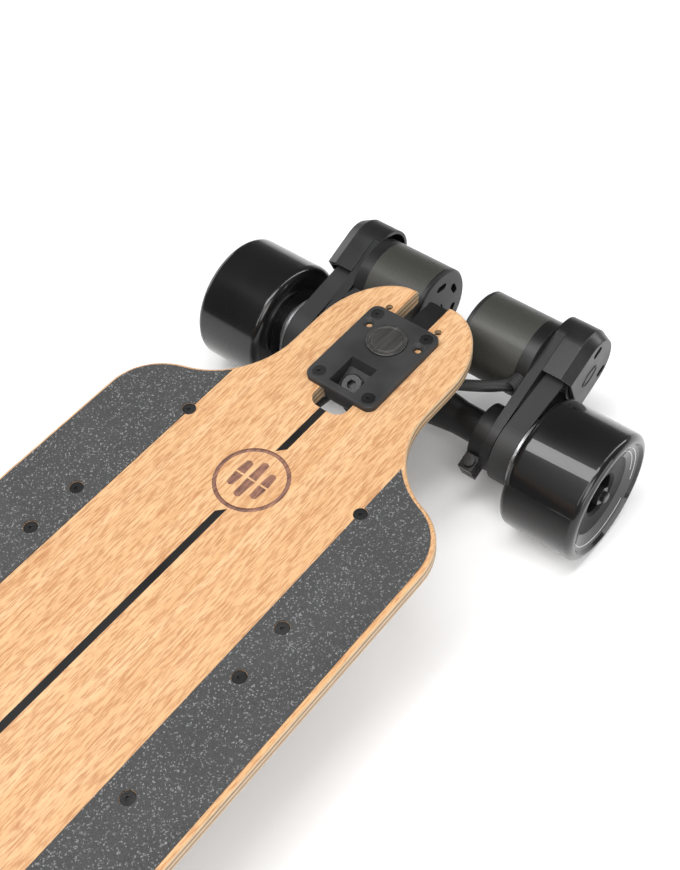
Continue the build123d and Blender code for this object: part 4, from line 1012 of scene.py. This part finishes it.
@dataclass
class WheelFaces:
    """What is on each wheel's outer face: two printed arcs on the dish and the bearing's shield."""

    shop: Workshop
    lip_radius: float = 40.5 * MM
    lip_depth: float = 2.2 * MM
    core_radius: float = 30.0 * MM
    dish_depth: float = 6.0 * MM
    arc_width: float = 0.55 * MM
    arc_lift: float = 0.08 * MM
    arcs: tuple[tuple[float, float, float], ...] = (
        (37.6 * MM, 15.0, 205.0), (34.6 * MM, 30.0, 190.0), (37.6 * MM, 228.0, 338.0),
    )
    shield: tuple[float, float] = (7.9 * MM, 10.3 * MM)
    shield_foot: float = 0.01 * MM
    shield_rim: float = 0.15 * MM
    shield_height: float = 0.25 * MM
    shield_bevel: float = 0.4 * MM
    steps: int = 90

    def dish(self, radius: float) -> float:
        """How deep the dish lies at this radius, under the wheel's outer face."""
        share = (self.lip_radius - radius) / (self.lip_radius - self.core_radius)
        return self.lip_depth + share * (self.dish_depth - self.lip_depth)

    def build(self) -> None:
        """Makes the arcs and the shield on each wheel."""
        for end in End:
            for side in Side:
                body = f"{end.value}_{side.word}_wheel"
                centre = joint_place(f"{body}_spin")
                low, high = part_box(f"{end.value}_{side.word}_tyre")
                face = high.y if side is Side.LEFT else low.y
                for i, (radius, start, stop) in enumerate(self.arcs):
                    self._arc(f"{body}_arc_{i}", body, centre, face, side, (radius, start, stop))
                self._shield(body, centre, side, f"{end.value}_{side.word}_bearings")

    def _arc(
        self, name: str, body: str, centre: Vector, face: float, side: Side, span: tuple[float, float, float]
    ) -> None:
        """Prints one arc.

        Args:
            name: the piece's name.
            body: the wheel that it turns with.
            centre: a point on the axle.
            face: the Y of the wheel's outer face.
            side: the wheel's side.
            span: the arc's radius, and where it starts and stops in degrees.
        """
        radius, start, stop = span
        out = float(side.value)

        def section(share: float) -> list[Vector]:
            """Corners of the arc's thin section.

            Args:
                share: how far along the arc it is, from 0 to 1.

            Returns:
                Its four corners.
            """
            turn = math.radians(start + (stop - start) * share)
            corners = []
            outer = radius + self.arc_width
            for r, lift in ((radius, 0.0), (outer, 0.0), (outer, 1.0), (radius, 1.0)):
                y = face - out * (self.dish(r) - lift * self.arc_lift)
                corners.append(Vector((centre.x + r * math.cos(turn), y, centre.z + r * math.sin(turn))))
            return corners

        piece = swept_strip(name, section, self.steps)
        self.shop.dress(piece, "tyre", self.shop.ink)
        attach(piece, body)
        log.info("made %s", name)

    def _shield(self, body: str, centre: Vector, side: Side, bearings: str) -> None:
        """Puts a shield ring on the outer bearing.

        Args:
            body: the wheel that it turns with.
            centre: a point on the axle.
            side: the wheel's side.
            bearings: the node of the wheel's bearings.
        """
        low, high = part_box(bearings)
        y = high.y if side is Side.LEFT else low.y
        inner, outer = self.shield
        turn = Matrix.Rotation(-side.value * math.pi / 2, 4, "X")
        stand = Matrix.Translation((centre.x, y, centre.z)) @ turn
        piece = lathe(f"{body}_bearing_shield", [
            (inner, self.shield_foot), (outer, self.shield_foot), (outer, self.shield_rim),
            (outer - self.shield_bevel, self.shield_height), (inner + self.shield_bevel, self.shield_height),
            (inner, self.shield_rim),
        ], stand, steps=64)
        self.shop.dress(piece, "bearing", self.shop.materials["black_steel"])
        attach(piece, body)
        log.info("made %s", piece.name)


@dataclass
class Leads:
    """The braided leads from each motor to the arm's ears, and from there to the tray."""

    shop: Workshop
    radius: float = 4.2 * MM
    cap_bite: float = 2.8 * MM
    leave_angle: float = 35.0
    motor_radius: float = 31.3 * MM
    straight_out: float = 12.0 * MM
    ear_back: float = 17.5 * MM
    ear_under: float = 8.0 * MM
    ear_y: float = 21.0 * MM
    before_ear: float = 15.0 * MM
    past_ear: float = 30.0 * MM
    before_tray: float = 24.0 * MM
    tray_bite: float = 1.0 * MM
    tray_y: float = 30.0 * MM
    boot_length: float = 24.0 * MM
    boot_radius: float = 6.6 * MM
    boot_squeeze: float = 0.05 * MM
    boot_ribs: int = 5
    rib_points: int = 8
    rib_depth: float = 0.5 * MM

    def build(self) -> None:
        """Makes the four leads and their boots."""
        motor = joint_place("left_motor_spin")
        axle = joint_place("rear_left_wheel_spin")
        ring = joint_place("rear_arm_lean")
        lean = joint_axis("rear_arm_lean")
        up = kingpin_direction(End.REAR)
        ear = ring - lean * self.ear_back - up * self.ear_under
        can_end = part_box("motor_cans")[1].y
        cap_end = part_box("motor_end_caps")[1].y
        middle_y = (can_end + cap_end) / 2
        to_axle = (Vector((axle.x, 0, axle.z)) - Vector((motor.x, 0, motor.z))).normalized()
        square = Vector((-to_axle.z, 0, to_axle.x))
        turn = math.radians(self.leave_angle)
        away = to_axle * math.cos(turn) + square * math.sin(turn)
        tray_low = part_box("enclosure_tray")[0]
        tray_z = (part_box("truck_nuts")[1].z + tray_low.z) / 2
        shaft = Vector((motor.x, 0, motor.z))
        for side in Side:
            mirror = float(side.value)

            def at(x: float, y: float, z: float) -> Vector:
                """A point of the left lead, on this side."""
                return Vector((x, mirror * y, z))

            start = shaft + away * (self.motor_radius - self.cap_bite)
            leave = shaft + away * (self.motor_radius + self.straight_out)
            outer = [
                at(start.x, middle_y, start.z), at(leave.x, middle_y, leave.z),
                at(ear.x - self.before_ear, self.ear_y, ear.z), at(ear.x, self.ear_y, ear.z),
            ]
            inner = [
                at(ear.x, self.ear_y, ear.z), at(ear.x + self.past_ear, self.ear_y, ear.z),
                at(tray_low.x - self.before_tray, self.tray_y, tray_z),
                at(tray_low.x + self.tray_bite, self.tray_y, tray_z),
            ]
            hung = tube(f"{side.word}_motor_sleeve", outer, self.radius)
            self.shop.dress(hung, "lead")
            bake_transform(hung)
            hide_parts("motor_leads")
            led = tube(f"{side.word}_controller_sleeve", inner, self.radius)
            self.shop.dress(led, "lead")
            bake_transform(led)
            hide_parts("controller_leads")
            rim = shaft + away * self.motor_radius
            at_motor = at(rim.x, middle_y, rim.z)
            at_tray = at(tray_low.x, self.tray_y, tray_z)
            self._boot(f"{side.word}_motor_boot", at_motor, away, "rear_hanger", 0.5)
            self._boot(f"{side.word}_tray_boot", at_tray, Vector((-1, 0, 0)), "board", 1.0)
            log.info("made the %s leads", side.word)

    def _boot(self, name: str, foot: Vector, way: Vector, body: str, share: float) -> None:
        """Puts a tapered, ribbed boot around a lead where it enters a housing.

        Args:
            name: the piece's name.
            foot: where the lead leaves the housing.
            way: the direction in which it leaves.
            body: the body that holds the boot.
            share: how much of the boot's full length there is room for.
        """
        length = self.boot_length * share
        tip = self.radius + self.rib_depth
        outside = []
        points = self.rib_points * self.boot_ribs
        for i in range(points + 1):
            along = i / points
            taper = self.boot_radius + (tip - self.boot_radius) * along
            rib = self.rib_depth * (0.5 - 0.5 * math.cos(2 * math.pi * self.boot_ribs * along))
            outside.append((taper - rib, length * along))
        inner = self.radius - self.boot_squeeze
        turn = way.to_track_quat("Z", "Y").to_matrix().to_4x4()
        stand = Matrix.Translation(foot) @ turn
        piece = lathe(name, [(inner, 0.0), *outside, (inner, length)], stand, steps=40)
        self.shop.dress(piece, "lead", self.shop.materials["soft_cap"])
        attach(piece, body)
        log.info("made %s", name)


@dataclass
class ButtonRing:
    """The pale ring set in the power button's face."""

    shop: Workshop
    inner: float = 3.1 * MM
    outer: float = 3.8 * MM
    lift: float = 0.15 * MM

    def build(self) -> None:
        """Makes the ring on the button."""
        low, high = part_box("power_button")
        centre = (low + high) / 2
        turn = Matrix.Rotation(-math.pi / 2, 4, "X")
        stand = Matrix.Translation((centre.x, high.y, centre.z)) @ turn
        piece = lathe("power_button_ring", [
            (self.inner, 0.0), (self.outer, 0.0), (self.outer, self.lift), (self.inner, self.lift),
        ], stand, steps=48)
        self.shop.dress(piece, "button", self.shop.glow)
        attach(piece, "power_button")
        log.info("made %s", piece.name)


# ---- studio -------------------------------------------------------------------------------
@dataclass(frozen=True)
class SoftBox:
    """One area light: where it hangs, what it faces, its size and its power."""

    name: str
    place: tuple[float, float, float]
    facing: tuple[float, float, float]
    size: tuple[float, float]
    power: float


@dataclass
class Studio:
    """A white sweep with soft boxes, and the camera."""

    camera_place: tuple[float, float, float] = (68.39 * MM, 385.53 * MM, 779.41 * MM)
    camera_target: tuple[float, float, float] = (-334.94 * MM, 12.79 * MM, 100.0 * MM)
    camera_roll: float = 5.216
    lens: float = 55.02
    floor_half: float = 4.0
    floor_dim: tuple[float, float, float] = (0.93, 0.93, 0.93)
    floor_pale: tuple[float, float, float] = (0.95, 0.95, 0.95)
    sky: float = 0.16
    boxes: tuple[SoftBox, ...] = (
        SoftBox("overhead_box", (-0.05, -0.20, 1.75), (-0.2, 0.0, 0.0), (0.5, 1.5), 21.0),
        SoftBox("nose_box", (0.85, -0.10, 1.45), (-0.2, 0.0, 0.0), (0.40, 1.7), 12.0),
        SoftBox("camera_box", (0.75, 1.25, 1.60), (-0.3, 0.0, 0.0), (1.3, 1.3), 26.0),
        SoftBox("tail_strip", (-1.25, 0.35, 0.95), (-0.35, 0.1, 0.06), (0.16, 1.5), 7.0),
        SoftBox("left_panel", (-0.30, 2.00, 0.45), (-0.30, 0.0, 0.0), (2.4, 0.6), 17.0),
        SoftBox("right_panel", (-0.40, -1.90, 0.62), (-0.30, 0.0, 0.0), (1.8, 0.6), 12.0),
    )

    def build(self) -> None:
        """Lays the floor and sets up the light and the camera."""
        self._floor()
        self._sky()
        for box in self.boxes:
            self._light(box)
        self._camera()
        bpy.context.scene.view_settings.view_transform = "Standard"
        log.info("set up the studio")

    def _floor(self) -> None:
        """Lays a plain pale floor under the wheels."""
        shape = bmesh.new()
        half = self.floor_half
        corners = ((-half, -half, 0.0), (half, -half, 0.0), (half, half, 0.0), (-half, half, 0.0))
        shape.faces.new([shape.verts.new(corner) for corner in corners])
        floor = object_from_bmesh("floor", shape)
        material, tree, shader = start_material("pale_floor", Specular_IOR_Level=0.2)
        cloud = tree.noise(tree.place(), 2.0, 2.0)
        clouded = tree.mix(cloud, rgba(self.floor_dim), rgba(self.floor_pale))
        tree.feed(shader.inputs["Base Color"], clouded)
        tree.feed(shader.inputs["Roughness"], tree.spread(cloud, 0.6, 0.7))
        floor.data.materials.append(material)

    def _sky(self) -> None:
        """Fills the room with even white light."""
        world = bpy.data.worlds.new("studio")
        world.use_nodes = True
        background = world.node_tree.nodes["Background"]
        background.inputs["Color"].default_value = (1.0, 1.0, 1.0, 1.0)
        background.inputs["Strength"].default_value = self.sky
        bpy.context.scene.world = world

    def _light(self, box: SoftBox) -> None:
        """Hangs one soft box.

        Args:
            box: the soft box to hang.
        """
        data = bpy.data.lights.new(box.name, "AREA")
        data.shape = "RECTANGLE"
        data.size, data.size_y = box.size
        data.energy = box.power
        lamp = bpy.data.objects.new(box.name, data)
        lamp.location = box.place
        aim = Vector(box.facing) - Vector(box.place)
        lamp.rotation_euler = aim.to_track_quat("-Z", "Y").to_euler()
        bpy.context.scene.collection.objects.link(lamp)

    def _camera(self) -> None:
        """Places the camera, level but for a slight roll."""
        place, target = Vector(self.camera_place), Vector(self.camera_target)
        ahead = (target - place).normalized()
        level = ahead.cross(Vector((0, 0, 1))).normalized()
        upright = level.cross(ahead)
        roll = math.radians(self.camera_roll)
        up = upright * math.cos(roll) + level * math.sin(roll)
        right = ahead.cross(up)
        data = bpy.data.cameras.new("camera")
        data.lens = self.lens
        camera = bpy.data.objects.new("camera", data)
        turn = Matrix((right, up, -ahead)).transposed().to_4x4()
        camera.matrix_world = Matrix.Translation(place) @ turn
        bpy.context.scene.collection.objects.link(camera)
        bpy.context.scene.camera = camera


def main() -> None:
    """Builds the looks around the frame and sets up the studio."""
    shop = Workshop()
    shop.dress_frame()
    assemblies = (DeckTop(shop), Bushings(shop), WheelFaces(shop), Leads(shop), ButtonRing(shop), Studio())
    for assembly in assemblies:
        assembly.build()
        log.info("finished %s", type(assembly).__name__)


if __name__ == "__main__":
    main()
